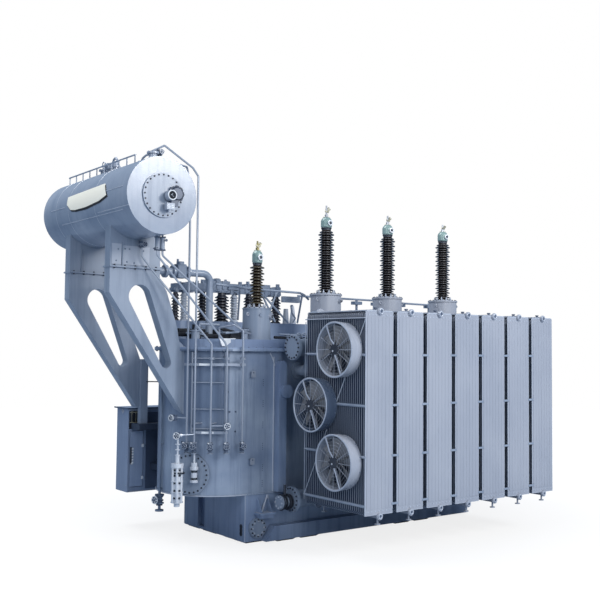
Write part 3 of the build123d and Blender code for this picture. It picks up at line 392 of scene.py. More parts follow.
def addTurnedBox(bm, centre, axis, size, spin=0):
    place = Matrix.Translation(Vector(centre)) @ turnTo(axis) @ Matrix.Rotation(spin, 4, "Z")
    bmesh.ops.create_cube(bm, size=1, matrix=place @ Matrix.Diagonal((*size, 1)))


def addRing(bm, centre, axis, radius, thick, sides=48, tubeSides=8):
    place = Matrix.Translation(Vector(centre)) @ turnTo(axis)
    rows = []
    for a in around(sides):
        tube = [flatWay(a) * (radius + thick * math.cos(b)) + Vector((0, 0, thick * math.sin(b)))
                for b in around(tubeSides)]
        rows.append([bm.verts.new(place @ point) for point in tube])
    for i in range(sides):
        for j in range(tubeSides):
            k, m = (i + 1) % sides, (j + 1) % tubeSides
            bm.faces.new((rows[i][j], rows[k][j], rows[k][m], rows[i][m]))


def addBolt(bm, place, axis, size):
    axis = Vector(axis).normalized()
    addDrum(bm, place, axis, size * 1.05, size * 0.22, 12)
    addDrum(bm, Vector(place) + axis * size * 0.22, axis, size * 0.85, size * 0.65, 6)
    addDrum(bm, Vector(place) + axis * size * 0.87, axis, size * 0.45, size * 0.4, 8)


def addBoltRing(bm, centre, axis, radius, count, size):
    place = Matrix.Translation(Vector(centre)) @ turnTo(axis)
    for a in around(count):
        addBolt(bm, place @ (flatWay(a) * radius), axis, size)


def drafts(count):
    return [bmesh.new() for _ in range(count)]


def finishPiece(bm, name, finish, body="root"):
    mesh = bpy.data.meshes.new(name)
    bmesh.ops.recalc_face_normals(bm, faces=bm.faces)
    bm.to_mesh(mesh)
    bm.free()
    piece = bpy.data.objects.new(name, mesh)
    bpy.context.scene.collection.objects.link(piece)
    mesh.materials.append(paints[finish])
    for face in mesh.polygons:
        face.use_smooth = True
    mesh.set_sharp_from_angle(angle=math.radians(35))
    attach(piece, body)


# Bolts on the drum's cover, the manhole, the turrets, the cover's rim and the blind flanges
boltSettings = {  # radius of the ring, number of bolts, size of a bolt
    "endCover": (0.292, 24, 0.013), "manhole": (0.278, 24, 0.014), "headerFlange": (0.168, 16, 0.015),
    "highTurret": (0.252, 20, 0.013), "neutralTurret": (0.212, 16, 0.012), "sideFlange": (0.125, 12, 0.013),
    "rimPitch": 0.135, "rimBolt": 0.012, "rimReach": 0.956, "manholeTurn": 35,
}


def makeBolts(s):
    bm = bmesh.new()
    facing = -flatWay(math.radians(s["manholeTurn"]))
    low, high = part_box("upper_header")
    rings = [((-4.16, -1.224, 5.14), toFront, "endCover"),
             (Vector((-tankEnd, 0, 1.078)) + facing * 0.94, facing, "manhole")]
    for z in (3.008, 0.668):
        rings += [((low.x, -1.22, z), toLeft, "headerFlange"), ((high.x, -1.22, z), toRight, "headerFlange")]
    rings += [((x, bushingRow, highTop), toTop, "highTurret") for x in highPlaces]
    rings += [((neutralPlace, bushingRow, neutralTop), toTop, "neutralTurret"),
              ((-2.262, -0.948, 0.229), toFront, "sideFlange")]
    for centre, axis, kind in rings:
        addBoltRing(bm, centre, axis, *s[kind])
    finishPiece(bm, "flange_bolts", "darkSteel")

    bm = bmesh.new()
    reach, spots = s["rimReach"], []
    steps = int(2 * tankEnd / s["rimPitch"])
    arc = int(math.pi * reach / s["rimPitch"])
    for side in (-1, 1):
        spots += [(-tankEnd + 2 * tankEnd * i / steps, side * reach) for i in range(steps + 1)]
        for i in range(1, arc):
            a = math.pi / 2 + math.pi * i / arc
            y = reach * math.sin(a)
            if side > 0 or not -0.44 < y < -0.18:  # the near bracket stands there
                spots.append((side * (tankEnd - reach * math.cos(a)), y))
    for x, y in spots:
        addBolt(bm, (x, y, 2.996), toTop, s["rimBolt"])
        addBolt(bm, (x, y, 2.942), toFloor, s["rimBolt"])
    finishPiece(bm, "rim_bolts", "bluePaint")


makeBolts(boltSettings)
print("stage: bolts made")

# Guards, front lips with two arms, motor caps and plugs of the fans
fanSettings = {
    "places": fanCentres, "front": -1.98, "lipRadius": 0.395,
    "rods": 12, "rodRadius": 0.0042, "rings": (0.1, 0.15, 0.2, 0.25, 0.3, 0.35),
    "arms": (((0.165, 0.353), (0.072, 0.154), (-0.01, 0.075)),
             ((-0.03, -0.075), (-0.072, -0.154), (-0.16, -0.35))),
}


def faceWay(a):
    return Vector((0, math.cos(a), math.sin(a)))


def makeFans(s):
    for number, (y, z) in enumerate(s["places"], 1):
        front = s["front"]
        guard, lip, cap, plug = drafts(4)
        for a in around(s["rods"]):
            addRod(guard, Vector((front + 0.012, y, z)) + faceWay(a) * 0.075,
                   Vector((front + 0.006, y, z)) + faceWay(a) * 0.4, s["rodRadius"], 6)
        for ring in s["rings"]:
            addRing(guard, (front + 0.006, y, z), toLeft, ring, 0.002, 48, 5)
        addRing(lip, (front + 0.005, y, z), toLeft, s["lipRadius"], 0.014, 72, 8)
        for arm in s["arms"]:
            addRun(lip, [(front - 0.004, y + dy, z + dz) for dy, dz in arm], 0.0115, 8)
        addDrum(cap, (front - 0.0005, y, z), toRight, 0.078, 0.001, 32)
        centre = Vector((front + 0.002, y, z))
        for a in around(10):
            addRod(cap, centre + faceWay(a) * 0.07, centre + faceWay(a) * 0.108, 0.009, 6)
        addDrum(plug, (front - 0.001, y + 0.02, z - 0.02), toLeft, 0.014, 0.008, 16)
        finishPiece(guard, f"fan_guard_{number}", "radiatorPaint")
        finishPiece(lip, f"fan_lip_{number}", "palePaint")
        finishPiece(cap, f"motor_cap_{number}", "darkSteel")
        finishPiece(plug, f"motor_plug_{number}", "brightSteel")


makeFans(fanSettings)
print("stage: fan guards made")

# A bare sign plate that follows the drum, on a near-black painted shadow that shows mostly below it and
# toward the drum's near end: corners as angle round the drum and place along it
signSettings = {
    "outline": ((161.5, 0.87), (157.5, -0.42), (177.3, -0.55), (183.0, -0.3), (186.5, 0.16), (186.5, 0.55),
                (184.5, 0.71), (174.5, 0.86)),
    "lift": 0.007, "shadowLift": 0.004, "frame": 0.008, "shadowShift": (3.0, -0.036),
}
drumCentre, drumRadius = Vector((-4.16, 0, 5.14)), 0.555


def onDrum(angle, along, lift):
    a, reach = math.radians(angle), drumRadius + lift
    return Vector((drumCentre.x + reach * math.cos(a), along, drumCentre.z + reach * math.sin(a)))


def makeSign(s):
    outline = [Vector(corner) for corner in s["outline"]]
    count = len(outline)
    middle = sum(outline, Vector((0, 0))) / count
    perDegree = drumRadius * 0.01745
    edge = [outline[i].lerp(outline[(i + 1) % count], k / 6) for i in range(count) for k in range(6)]
    total = len(edge)
    # The shifted near-black outline under the plate is its painted shadow
    for name, finish, grow, lift in (("sign_shadow", "sootPaint", s["frame"], s["shadowLift"]),
                                     ("sign_plate", "blankSign", 0, s["lift"])):
        bm = bmesh.new()
        shift = Vector(s["shadowShift"]) if grow else Vector((0, 0))
        rings = []
        for part in (1.0, 0.75, 0.5, 0.25):
            row = []
            for p in edge:
                q = middle + (p - middle) * part + shift
                if part == 1.0 and grow:
                    way = Vector(((p - middle).x * perDegree, (p - middle).y)).normalized()
                    q = q + Vector((way.x * grow / perDegree, way.y * grow))
                row.append(bm.verts.new(onDrum(q.x, q.y, lift)))
            rings.append(row)
        skirt = [bm.verts.new(onDrum(*angleOf(v.co), -0.01)) for v in rings[0]]
        hub = bm.verts.new(onDrum(*(middle + shift), lift))
        for i in range(total):
            k = (i + 1) % total
            bm.faces.new((skirt[i], skirt[k], rings[0][k], rings[0][i]))
            for outer, inner in zip(rings, rings[1:]):
                bm.faces.new((outer[i], outer[k], inner[k], inner[i]))
            bm.faces.new((rings[-1][i], rings[-1][k], hub))
        finishPiece(bm, name, finish)


def angleOf(co):
    rel = co - drumCentre
    return math.degrees(math.atan2(rel.z, rel.x)) % 360, co.y


makeSign(signSettings)
print("stage: sign made")

# Weld seams and small fittings on the drum and its gauge
drumSettings = {
    "seams": ((204.5, 1.15, -1.0), (200.0, -0.2, -1.19), (170.75, -0.45, -1.05), (178.0, 1.5, 0.95)),
    "seamRadius": 0.008, "gauge": (-4.085, 5.132), "gaugeFace": -1.352, "flange": (-3.968, -1.262, 5.173),
    "bend": ((-0.5, 5.7), (-0.579, 5.774), (-0.68, 5.8), (-0.8, 5.79), (-0.887, 5.77)),
    "arch": ((-4.14, 0.32, 5.8), (-4.12, 0.36, 5.9), (-4.1, 0.45, 5.955), (-4.07, 0.58, 5.955),
             (-4.04, 0.7, 5.9), (-4.02, 0.76, 5.8)),
}


def makeDrumDetails(s):
    seams, case, ring, dial, flange, needle, pipes, top = drafts(8)
    for angle, start, end in s["seams"]:
        addRod(seams, onDrum(angle, start, -0.002), onDrum(angle, end, -0.002), s["seamRadius"], 8)
    for along in (-0.12, 0.82, 1.3):
        addRing(seams, (drumCentre.x, along, drumCentre.z), toBack, drumRadius - 0.003, 0.0055, 96, 6)
    x, z = s["gauge"]
    face = s["gaugeFace"]
    addDrum(case, (x, face + 0.095, z), toFront, 0.074, 0.093, 36)
    addBox(case, (x - 0.075, face + 0.02, z - 0.205), (x + 0.052, face + 0.09, z - 0.112))
    addRod(case, (x - 0.02, face + 0.05, z - 0.2), (x - 0.02, face + 0.05, z - 0.235), 0.018, 16)
    addRing(ring, (x, face, z), toFront, 0.064, 0.008, 40, 8)
    for dx in (-0.045, 0.02):
        addRing(ring, (x + dx, face + 0.02, z - 0.16), toFront, 0.018, 0.005, 20, 6)
    addDrum(dial, (x, face + 0.003, z), toFront, 0.06, 0.002, 32)
    centre = Vector(s["flange"])
    # A near-black octagon over the gauge's flange: painted shade behind the dial
    addDrum(flange, centre, toFront, 0.124, 0.004, 8)
    addDrum(flange, centre - Vector((0, 0.004, 0)), toFront, 0.105, 0.03, 8, 0.075)
    addTurnedBox(needle, (x - 0.008, face - 0.001, z + 0.008), toFront, (0.04, 0.006, 0.002), 0.6)
    addTurnedBox(needle, (x + 0.01, face - 0.001, z - 0.014), toFront, (0.03, 0.005, 0.002), -0.5)
    for a in around(8, math.pi / 8):
        addBolt(needle, centre + Vector((0.113 * math.cos(a), 0, 0.113 * math.sin(a))), toFront, 0.008)
    # Pipework on top of the drum: a bend between two fittings, a wheel and a valve body
    x = drumCentre.x
    addRun(pipes, [(x, y, z) for y, z in s["bend"]], 0.016, 12)
    addRun(pipes, s["arch"], 0.018, 12)
    addDrum(pipes, (x, -0.5, 5.68), toTop, 0.036, 0.06, 16)
    for y in (0.33, 0.54, 0.76):
        addBoltRing(top, (x, y, 5.799), toTop, 0.06, 8, 0.009)
    addDrum(top, (x, 0.54, 5.8), toTop, 0.05, 0.07, 16)
    addDrum(top, (x, 0.33, 5.8), toTop, 0.045, 0.05, 16)
    addRod(top, (-4.24, 0.54, 5.83), (-4.08, 0.54, 5.83), 0.035, 14)
    addRing(top, (-4.26, 0.54, 5.83), toRight, 0.05, 0.008, 24, 6)
    addBoltRing(top, (x, -0.887, 5.811), toTop, 0.07, 8, 0.01)
    addBoltRing(top, (x, -0.887, 5.785), toFloor, 0.07, 8, 0.01)
    for bm, name, finish in ((seams, "drum_seams", "palePaint"), (case, "gauge_case", "palePaint"),
                             (ring, "gauge_ring", "whiteRing"), (dial, "gauge_face", "sootPaint"),
                             (flange, "gauge_flange_shade", "footPaint"), (needle, "gauge_needle", "galvanised"),
                             (pipes, "drum_pipes", "galvanised"), (top, "drum_top_fittings", "midPaint")):
        finishPiece(bm, name, finish)


makeDrumDetails(drumSettings)
print("stage: drum details made")


# A spoked handwheel: a light rim and spokes over a dark hub plate
def addWheel(light, dark, centre, axis, radius, spokes=5):
    axis = Vector(axis).normalized()
    centre = Vector(centre)
    place = turnTo(axis)
    addDrum(dark, centre, axis, radius * 1.02, 0.003, 28)
    addRing(light, centre + axis * 0.005, axis, radius * 0.9, radius * 0.1, 30, 6)
    hub = centre + axis * 0.006
    for a in around(spokes):
        addRod(light, hub, hub + place @ flatWay(a) * radius * 0.9, radius * 0.09, 6)
    addDrum(dark, centre, axis, radius * 0.24, 0.02, 12)


# Upright valves below the drum and on the pipe over it, their wheels to the front
drumValves = {
    "bodies": (((-4.08, -0.45, 4.47), 0.034, 0.075), ((-4.012, -0.8, 4.4), 0.034, 0.2),
               ((-3.93, -0.8, 4.4), 0.034, 0.2), ((-4.03, -0.795, 5.8), 0.045, 0.075)),
    "wheels": (((-4.08, -0.545, 4.507), 0.045), ((-4.05, -0.86, 4.43), 0.022),
               ((-3.9, -0.86, 4.55), 0.022), ((-4.02, -0.9, 5.835), 0.038)),
    "flange": 0.014,
}


def makeDrumValves(s):
    light, dark, flanges = drafts(3)
    thick = s["flange"]
    for place, radius, length in s["bodies"]:
        addDrum(flanges, place, toTop, radius, length, 20)
        for lift in (0, length - thick):
            addDrum(dark, Vector(place) + Vector(toTop) * lift, toTop, radius * 1.45, thick, 20)
            addBoltRing(dark, Vector(place) + Vector(toTop) * (lift + thick), toTop, radius * 1.2, 6, 0.009)
    for centre, radius in s["wheels"]:
        addRod(dark, Vector(centre) - Vector(toFront) * 0.1, centre, 0.01, 10)
        addWheel(light, dark, centre, toFront, radius, 4)
    addRod(flanges, (-4.15, -0.45, 4.507), (-4.01, -0.45, 4.507), 0.012, 10)
    finishPiece(light, "drum_valve_wheels", "palePaint")
    finishPiece(dark, "drum_valve_bodies", "duskPaint")
    finishPiece(flanges, "drum_valve_flanges", "midPaint")


makeDrumValves(drumValves)
print("stage: drum valves made")

# Saddles: bolts at the splices, and a pale panel with small bolts round it
saddleSettings = {
    "splice": 4.165, "bolts": 5, "boltSize": 0.016, "panel": ((-4.54, 4.2), (-3.93, 4.5)),
    "heads": ((-4.33, 4.43), (-4.26, 4.43), (-4.44, 4.42), (-4.3, 4.24), (-4.18, 4.23), (-4.47, 4.25),
              (-4.03, 4.42)),
}


def makeSaddles(s):
    bm = bmesh.new()
    for y in (-0.4, 1.05):
        for i in range(s["bolts"]):
            x = -4.5 + i * 0.17
            for lift, axis in ((0.012, toTop), (-0.012, toFloor)):
                addBolt(bm, (x, y - 0.014, s["splice"] + lift), axis, s["boltSize"])
    finishPiece(bm, "splice_bolts", "darkSteel")
    bm = bmesh.new()
    (left, low), (right, high) = s["panel"]
    addBox(bm, (left, -0.404, low), (-4.388, -0.4, high))
    addBox(bm, (-4.36, -0.404, low), (right, -0.4, high - 0.02))
    finishPiece(bm, "saddle_panel", "palePaint")
    bm = bmesh.new()
    for x, z in s["heads"]:
        addBolt(bm, (x, -0.404, z), toFront, 0.012)
    finishPiece(bm, "saddle_bolts", "bluePaint")


makeSaddles(saddleSettings)
print("stage: saddles made")

# Bushings: white-ringed ports, dark collars, studs at the foot and terminal clamps
bushingSettings = {
    # place, foot, low and high end of the head, its radius, top of the terminal
    "rows": (*((x, highTop, 5.055, 5.25, 0.096, top) for x, top in zip(highPlaces, (5.45, 5.415, 5.385))),
             (neutralPlace, neutralTop, 4.352, 4.57, 0.084, 4.723)),
    # reach of the studs, radius of the foot ring and of the collar: high voltage, neutral
    "sizes": ((0.15, 0.178, 0.083), (0.135, 0.16, 0.07)), "studs": 10,
}


def makeBushingDetails(s):
    rings, dark, brass, studs = drafts(4)
    for x, foot, low, high, radius, top in s["rows"]:
        reach, footRadius, collar = s["sizes"][x == neutralPlace]
        z = (low + high) / 2 - 0.01
        front = bushingRow - radius - 0.012
        addRing(rings, (x, front - 0.001, z), toFront, 0.038, 0.013, 32, 8)
        addDrum(dark, (x, front - 0.0005, z), toFront, 0.03, 0.004, 24)
        addDrum(dark, (x, bushingRow, low - 0.03), toTop, collar, 0.03, 32)
        addRing(dark, (x, bushingRow, low + 0.004), toTop, radius - 0.012, 0.009, 40, 6)
        for a in around(6):
            addBolt(brass, Vector((x, bushingRow, high - 0.004)) + flatWay(a) * 0.055, toTop, 0.008)
        span = top - high
        addTurnedBox(brass, (x + 0.045, -0.512, high + span * 0.62), toFront, (0.07, 0.028, 0.012), 0.7)
        addTurnedBox(brass, (x - 0.012, -0.512, high + span * 0.48), toFront, (0.06, 0.022, 0.012), -0.4)
        addRod(brass, (x + 0.01, bushingRow, high + span * 0.7),
               (x + 0.055, bushingRow, high + span * 0.86), 0.011)
        for share in (0.42, 0.66):
            addBolt(brass, (x + 0.03, -0.509, high + span * share), toFront, 0.01)
        for a in around(s["studs"]):
            stud = Vector((x, bushingRow, foot)) + flatWay(a) * reach
            addDrum(studs, stud, toTop, 0.009, 0.07, 8)
            addDrum(studs, stud + Vector((0, 0, 0.025)), toTop, 0.017, 0.018, 6)
        addDrum(studs, (x, bushingRow, foot), toTop, footRadius, 0.018, 40)
    finishPiece(rings, "port_rings", "whiteRing")
    finishPiece(dark, "bushing_collars", "darkSteel")
    finishPiece(brass, "terminal_clamps", "brass")
    finishPiece(studs, "bushing_studs", "palePaint")


makeBushingDetails(bushingSettings)
print("stage: bushing details made")

# Thick rims on the sheds, large and small in turn, over the CAD's thin ones
shedSettings = {
    # places, low and high end, number of sheds, large and small radius
    "rows": ((highPlaces, 3.98, 5.02, 24, 0.1365, 0.1145), ((neutralPlace,), 3.7, 4.322, 13, 0.1165, 0.0945)),
    "start": 0.1, "thick": 0.52, "droop": 0.3,
}


def makeSheds(s):
    bm = bmesh.new()
    for places, low, high, count, big, small in s["rows"]:
        pitch = (high - low) / count
        for x in places:
            for shed in range(count):
                reach = small if shed % 2 else big
                foot = low + (shed + s["start"]) * pitch
                addDrum(bm, (x, bushingRow, foot), toTop, reach, pitch * s["droop"], 32)
                addDrum(bm, (x, bushingRow, foot + pitch * s["droop"]), toTop, reach,
                        pitch * (s["thick"] - s["droop"]), 32, reach * 0.82)
    finishPiece(bm, "shed_rims", "rimGlaze")


makeSheds(shedSettings)
print("stage: shed rims made")

# Turret fittings: lifting eyes, two small ports and a weld ring low on the high voltage ones
turretSettings = {
    "highRadius": 0.262, "neutralRadius": 0.226, "eyeAngles": (200, 340, 90), "eyeDrop": 0.1, "weld": 3.25,
}


def makeTurretDetails(s):
    bm, dark = drafts(2)
    rows = [(x, highTop, s["highRadius"]) for x in highPlaces]
    rows.append((neutralPlace, neutralTop, s["neutralRadius"]))
    for x, top, radius in rows:
        for angle in s["eyeAngles"]:
            way = flatWay(math.radians(angle))
            spot = Vector((x, bushingRow, top - s["eyeDrop"])) + way * (radius + 0.02)
            addRing(bm, spot, Vector((-way.y, way.x, 0)), 0.024, 0.009, 24, 8)
            addDrum(bm, spot - way * 0.03, way, 0.022, 0.012, 12)
    for x, z, angle, radius, reach in ((neutralPlace, 3.5, 305, 0.045, s["neutralRadius"]),
                                       (highPlaces[0], 3.8, 290, 0.03, s["highRadius"])):
        way = flatWay(math.radians(angle))
        spot = Vector((x, bushingRow, z)) + way * (reach - 0.01)
        addDrum(bm, spot, way, radius, 0.05, 24)
        addDrum(dark, spot + way * 0.05, way, radius * 0.72, 0.004, 8)
    for x in highPlaces:
        addRing(bm, (x, bushingRow, s["weld"]), toTop, s["highRadius"] + 0.001, 0.006, 64, 6)
    finishPiece(bm, "turret_eyes", "radiatorPaint")
    finishPiece(dark, "turret_ports", "darkSteel")


makeTurretDetails(turretSettings)
print("stage: turret details made")

# Pipe rails on the rounded wall with painted highlights, valve handwheels and bodies, flange bolts and wall
# marks
wallSettings = {
    "angles": (213.7, 220.6, 234.4, 247.5, 261.6), "reach": 1.029,
    "rails": ((2.735, 209.5, 265.5), (1.712, 222.0, 246.5)),
    "plates": ((2.735, 223.5, 233.0), (1.712, 226.5, 237.0)),
    "marks": (2.46, 2.13, 1.8, 1.47, 1.14, 0.9), "markX": -2.173,
    "studs": ((258, 2.02), (252, 2.02), (205, 2.3), (203, 2.16), (205, 1.55), (201, 1.1), (258, 1.72),
              (250, 2.32)),
    "drain": ((0.7, 0.072), (0.675, 0.06), (0.615, 0.064), (0.545, 0.05)),
}


def beside(angle, reach, z):
    return Vector((-tankEnd, 0, z)) + flatWay(math.radians(angle)) * reach


# A curved strip that follows the rounded wall
def addStrip(bm, z, start, end, reach, high, thick, steps=12):
    section = ((0, -high / 2), (thick, -high / 2), (thick, high / 2), (0, high / 2))
    rows = []
    for i in range(steps + 1):
        a = start + (end - start) * i / steps
        rows.append([bm.verts.new(beside(a, reach + dr, z + dz)) for dr, dz in section])
    for p, q in zip(rows, rows[1:]):
        for i in range(4):
            k = (i + 1) % 4
            bm.faces.new((p[i], q[i], q[k], p[k]))
    bm.faces.new(rows[0])
    bm.faces.new(rows[-1])


def makeWallDetails(s):
    rails, plates, light, dark, clips = drafts(5)
    reach = s["reach"]
    for z, start, end in s["rails"]:
        addStrip(rails, z, start, end, 0.992, 0.04, 0.006)
    # Short white strips on the rails: painted highlights where the rails catch the light
    for z, start, end in s["plates"]:
        addStrip(plates, z, start, end, 0.999, 0.032, 0.003)
    for angle in s["angles"]:
        out = flatWay(math.radians(angle))
        side = Vector((-out.y, out.x, 0))
        core = beside(angle, reach, 1.512)
        addWheel(clips, dark, core + out * 0.0735, out, 0.046, 4)
        # A small bright cap on each wheel's hub: a painted highlight
        addDrum(light, core + out * 0.078, out, 0.013, 0.006, 12)
        knob = core + out * 0.06 + Vector((0, 0, 0.05))
        addRod(light, knob - side * 0.035, knob - side * 0.01, 0.009, 6)
        addDrum(dark, beside(angle, reach, 1.435), toTop, 0.034, 0.1, 16)
        hub = core + out * 0.05
        for a in around(4, math.pi / 4):
            spoke = side * 0.062 * math.cos(a) + Vector((0, 0, 0.062 * math.sin(a)))
            addRod(dark, hub, hub + spoke, 0.009, 6)
        for z in (1.556, 1.485, 1.401):
            addDrum(clips, beside(angle, reach, z), toTop, 0.043, 0.01, 20)
            addBoltRing(dark, beside(angle, reach, z + 0.01), toTop, 0.032, 4, 0.008)
        for z, start, end in s["rails"]:
            if start < angle + 4 < end + 8:
                addTurnedBox(clips, beside(angle, reach - 0.014, z), out, (0.05, 0.028, 0.04))
        if angle > 230:
            for z in (2.812, 2.84):
                addDrum(clips, beside(angle, reach, z), toTop, 0.043, 0.008, 20)
            addBoltRing(dark, beside(angle, reach, 2.848), toTop, 0.032, 4, 0.007)
    # Wheels of the two branch valves and the breather's valve, and the drain valve's
    for centre, way, radius, lift in (
            (beside(203, 1.05, 1.928), (-0.93, -0.35, 0), 0.05, 0.094),
            (beside(247.5, reach, 1.817), (-0.38, -0.92, 0), 0.05, 0.094),
            (Vector((-3.539, -0.665, 1.685)), (-1, -1, 0), 0.052, 0.0825)):
        way = Vector(way).normalized()
        addWheel(light, dark, centre + way * lift, way, radius, 5)
        addDrum(dark, centre - Vector((0, 0, 0.045)), toTop, 0.036, 0.09, 16)
        addDrum(dark, centre, way, 0.03, 0.06, 16)
    low = beside(176, 0.948, 0.64)
    for z, radius in s["drain"]:
        addDrum(dark, (low.x, low.y, z), toTop, radius, 0.016, 20)
    addWheel(light, dark, low + Vector((-1, -0.4, 0)).normalized() * 0.113, (-1, -0.4, 0), 0.062, 5)
    # Short dark marks down the joint, two lifting lugs and small studs on the wall
    x = s["markX"]
    for z in s["marks"]:
        for dz in (-0.045, -0.015, 0.015, 0.045):
            addBox(dark, (x - 0.006, -0.9115, z + dz - 0.006), (x + 0.006, -0.9078, z + dz + 0.006))
    for z in (1.242, 2.576):
        addBox(clips, (-2.43, -0.958, z - 0.035), (-2.352, -0.951, z + 0.06))
        addDrum(dark, (-2.391, -0.958, z + 0.035), toFront, 0.011, 0.003, 12)
    for angle, z in s["studs"]:
        addBolt(dark, beside(angle, 0.909, z), flatWay(math.radians(angle)), 0.014)
    finishPiece(rails, "pipe_rails", "galvanised")
    finishPiece(plates, "rail_highlights", "whiteRing")
    finishPiece(light, "handwheels", "whiteRing")
    finishPiece(dark, "valve_bodies", "duskPaint")
    finishPiece(clips, "pipe_clips", "galvanised")


makeWallDetails(wallSettings)
print("stage: wall details made")

# Breathers: tubes and dark slots of the long cage, bands round both
breatherSettings = {"long": (-3.539, -0.665), "short": (-3.251, -0.665)}


def makeBreathers(s):
    slots, glass, tubes = drafts(3)
    x, y = s["long"]
    for a in around(6):
        foot = Vector((x, y, 0.7)) + flatWay(a) * 0.07
        addRod(tubes, foot, foot + Vector((0, 0, 0.51)), 0.022, 12)
        way = flatWay(a + math.pi / 6)
        for z in (0.77, 0.88, 0.99, 1.1, 1.18):
            addTurnedBox(slots, Vector((x, y, z)) + way * 0.07, way, (0.055, 0.026, 0.01))
    addDrum(glass, (x + 0.02, y - 0.02, 1.125), toTop, 0.088, 0.024, 28)
    finishPiece(tubes, "cage_tubes", "brightSteel")
    for z in (1.12, 1.012):
        addDrum(glass, (*s["short"], z), toTop, 0.049, 0.03, 24)
    finishPiece(slots, "cage_slots", "darkSteel")
    finishPiece(glass, "breather_bands", "darkGlass")


makeBreathers(breatherSettings)
print("stage: breather details made")

# Cabinet: window, lifting eye, roof edge and second leaf; the door's own pieces ride on it
cabinetSettings = {
    "window": ((-3.402, 1.632), (-3.236, 1.925)), "eye": (-3.413, 1.41, 1.917), "face": 1.2,
    "hingeX": -3.124, "hingeHeights": (0.815, 1.345), "grips": (1.075, 1.12, 1.165, 1.21, 1.255, 1.3),
}


def makeCabinet(s):
    face = s["face"]
    (left, low), (right, high) = s["window"]
    glass, bars, eye, leaf, edges, recess, handle = drafts(7)
    addBox(glass, (left, face - 0.0035, low), (right, face, high))
    addBox(glass, (-3.35, face - 0.018, 1.665), (-3.245, face - 0.003, 1.67))
    for share in (0.36, 0.93):
        z = low + (high - low) * share
        addBox(bars, (left + 0.01, face - 0.008, z - 0.007), (right, face - 0.0035, z + 0.007))
    for share in (0.28, 0.72):
        x = left + (right - left) * share
        addBox(bars, (x - 0.004, face - 0.007, low), (x + 0.004, face - 0.0035, high))
    x, y, z = s["eye"]
    addRing(eye, (x - 0.002, y, z), toLeft, 0.026, 0.009, 28, 8)
    addDrum(eye, (x, y, z), toLeft, 0.042, 0.004, 28)
    for z in (0.7, 1.2, 1.75):
        for y in (1.24, 1.58):
            addBolt(eye, (x, y, z), toLeft, 0.008)
    # The second leaf beside the narrow door stays shut and is painted dark as painted shade, since it lies in
    # deep shade; the roof's edge is dark
    addBox(leaf, (-3.085, face - 0.0045, 0.63), (-2.325, face, 1.9))
    addBox(leaf, (-3.452, 1.16, 1.962), (-2.262, 1.1665, 1.984))
    addBox(leaf, (-3.4555, 1.162, 1.962), (-3.449, 1.656, 1.984))
    for z in (0.6, 1.945):
        addBox(edges, (x, face - 0.004, z - 0.006), (-2.31, face, z + 0.006))
    addBox(recess, (-3.374, face - 0.0035, 1.05), (-3.342, face - 0.0005, 1.335))
    for z in s["grips"]:
        addBox(handle, (-3.342, face - 0.01, z - 0.012), (-3.316, face - 0.0015, z + 0.016))
    addDrum(handle, (-3.343, face - 0.0035, 1.06), toFront, 0.014, 0.01, 16)
    for z in s["hingeHeights"]:
        addTurnedBox(handle, (s["hingeX"] - 0.03, face - 0.0175, z + 0.004), toFront, (0.034, 0.05, 0.004))
    finishPiece(glass, "window_glass", "darkGlass")
    finishPiece(bars, "window_bars", "brass")
    finishPiece(eye, "cabinet_eye", "radiatorPaint")
    finishPiece(leaf, "cabinet_leaf_shade", "duskPaint")
    finishPiece(edges, "cabinet_edges", "radiatorPaint")
    finishPiece(recess, "handle_recess", "darkSteel", body="door")
    finishPiece(handle, "door_handle", "whiteRing", body="door")


makeCabinet(cabinetSettings)
print("stage: cabinet details made")

# Radiators: lifting loops with painted shadows in their eyes, vents, weld dots, edge beads and painted
# highlights along the edges, a shallow skin in the flutes and thin rods
radiatorSettings = {
    "left": -1.768, "pitch": 0.615, "width": 0.52, "depth": 1.355, "front": -2.859,
    "low": 0.643, "high": 3.537, "count": 7, "bead": 0.009, "fluteDepth": 0.002, "dots": 7, "dotPitch": 0.07,
    "rodHeights": (0.778, 1.466, 2.187, 2.911, 3.436),
}


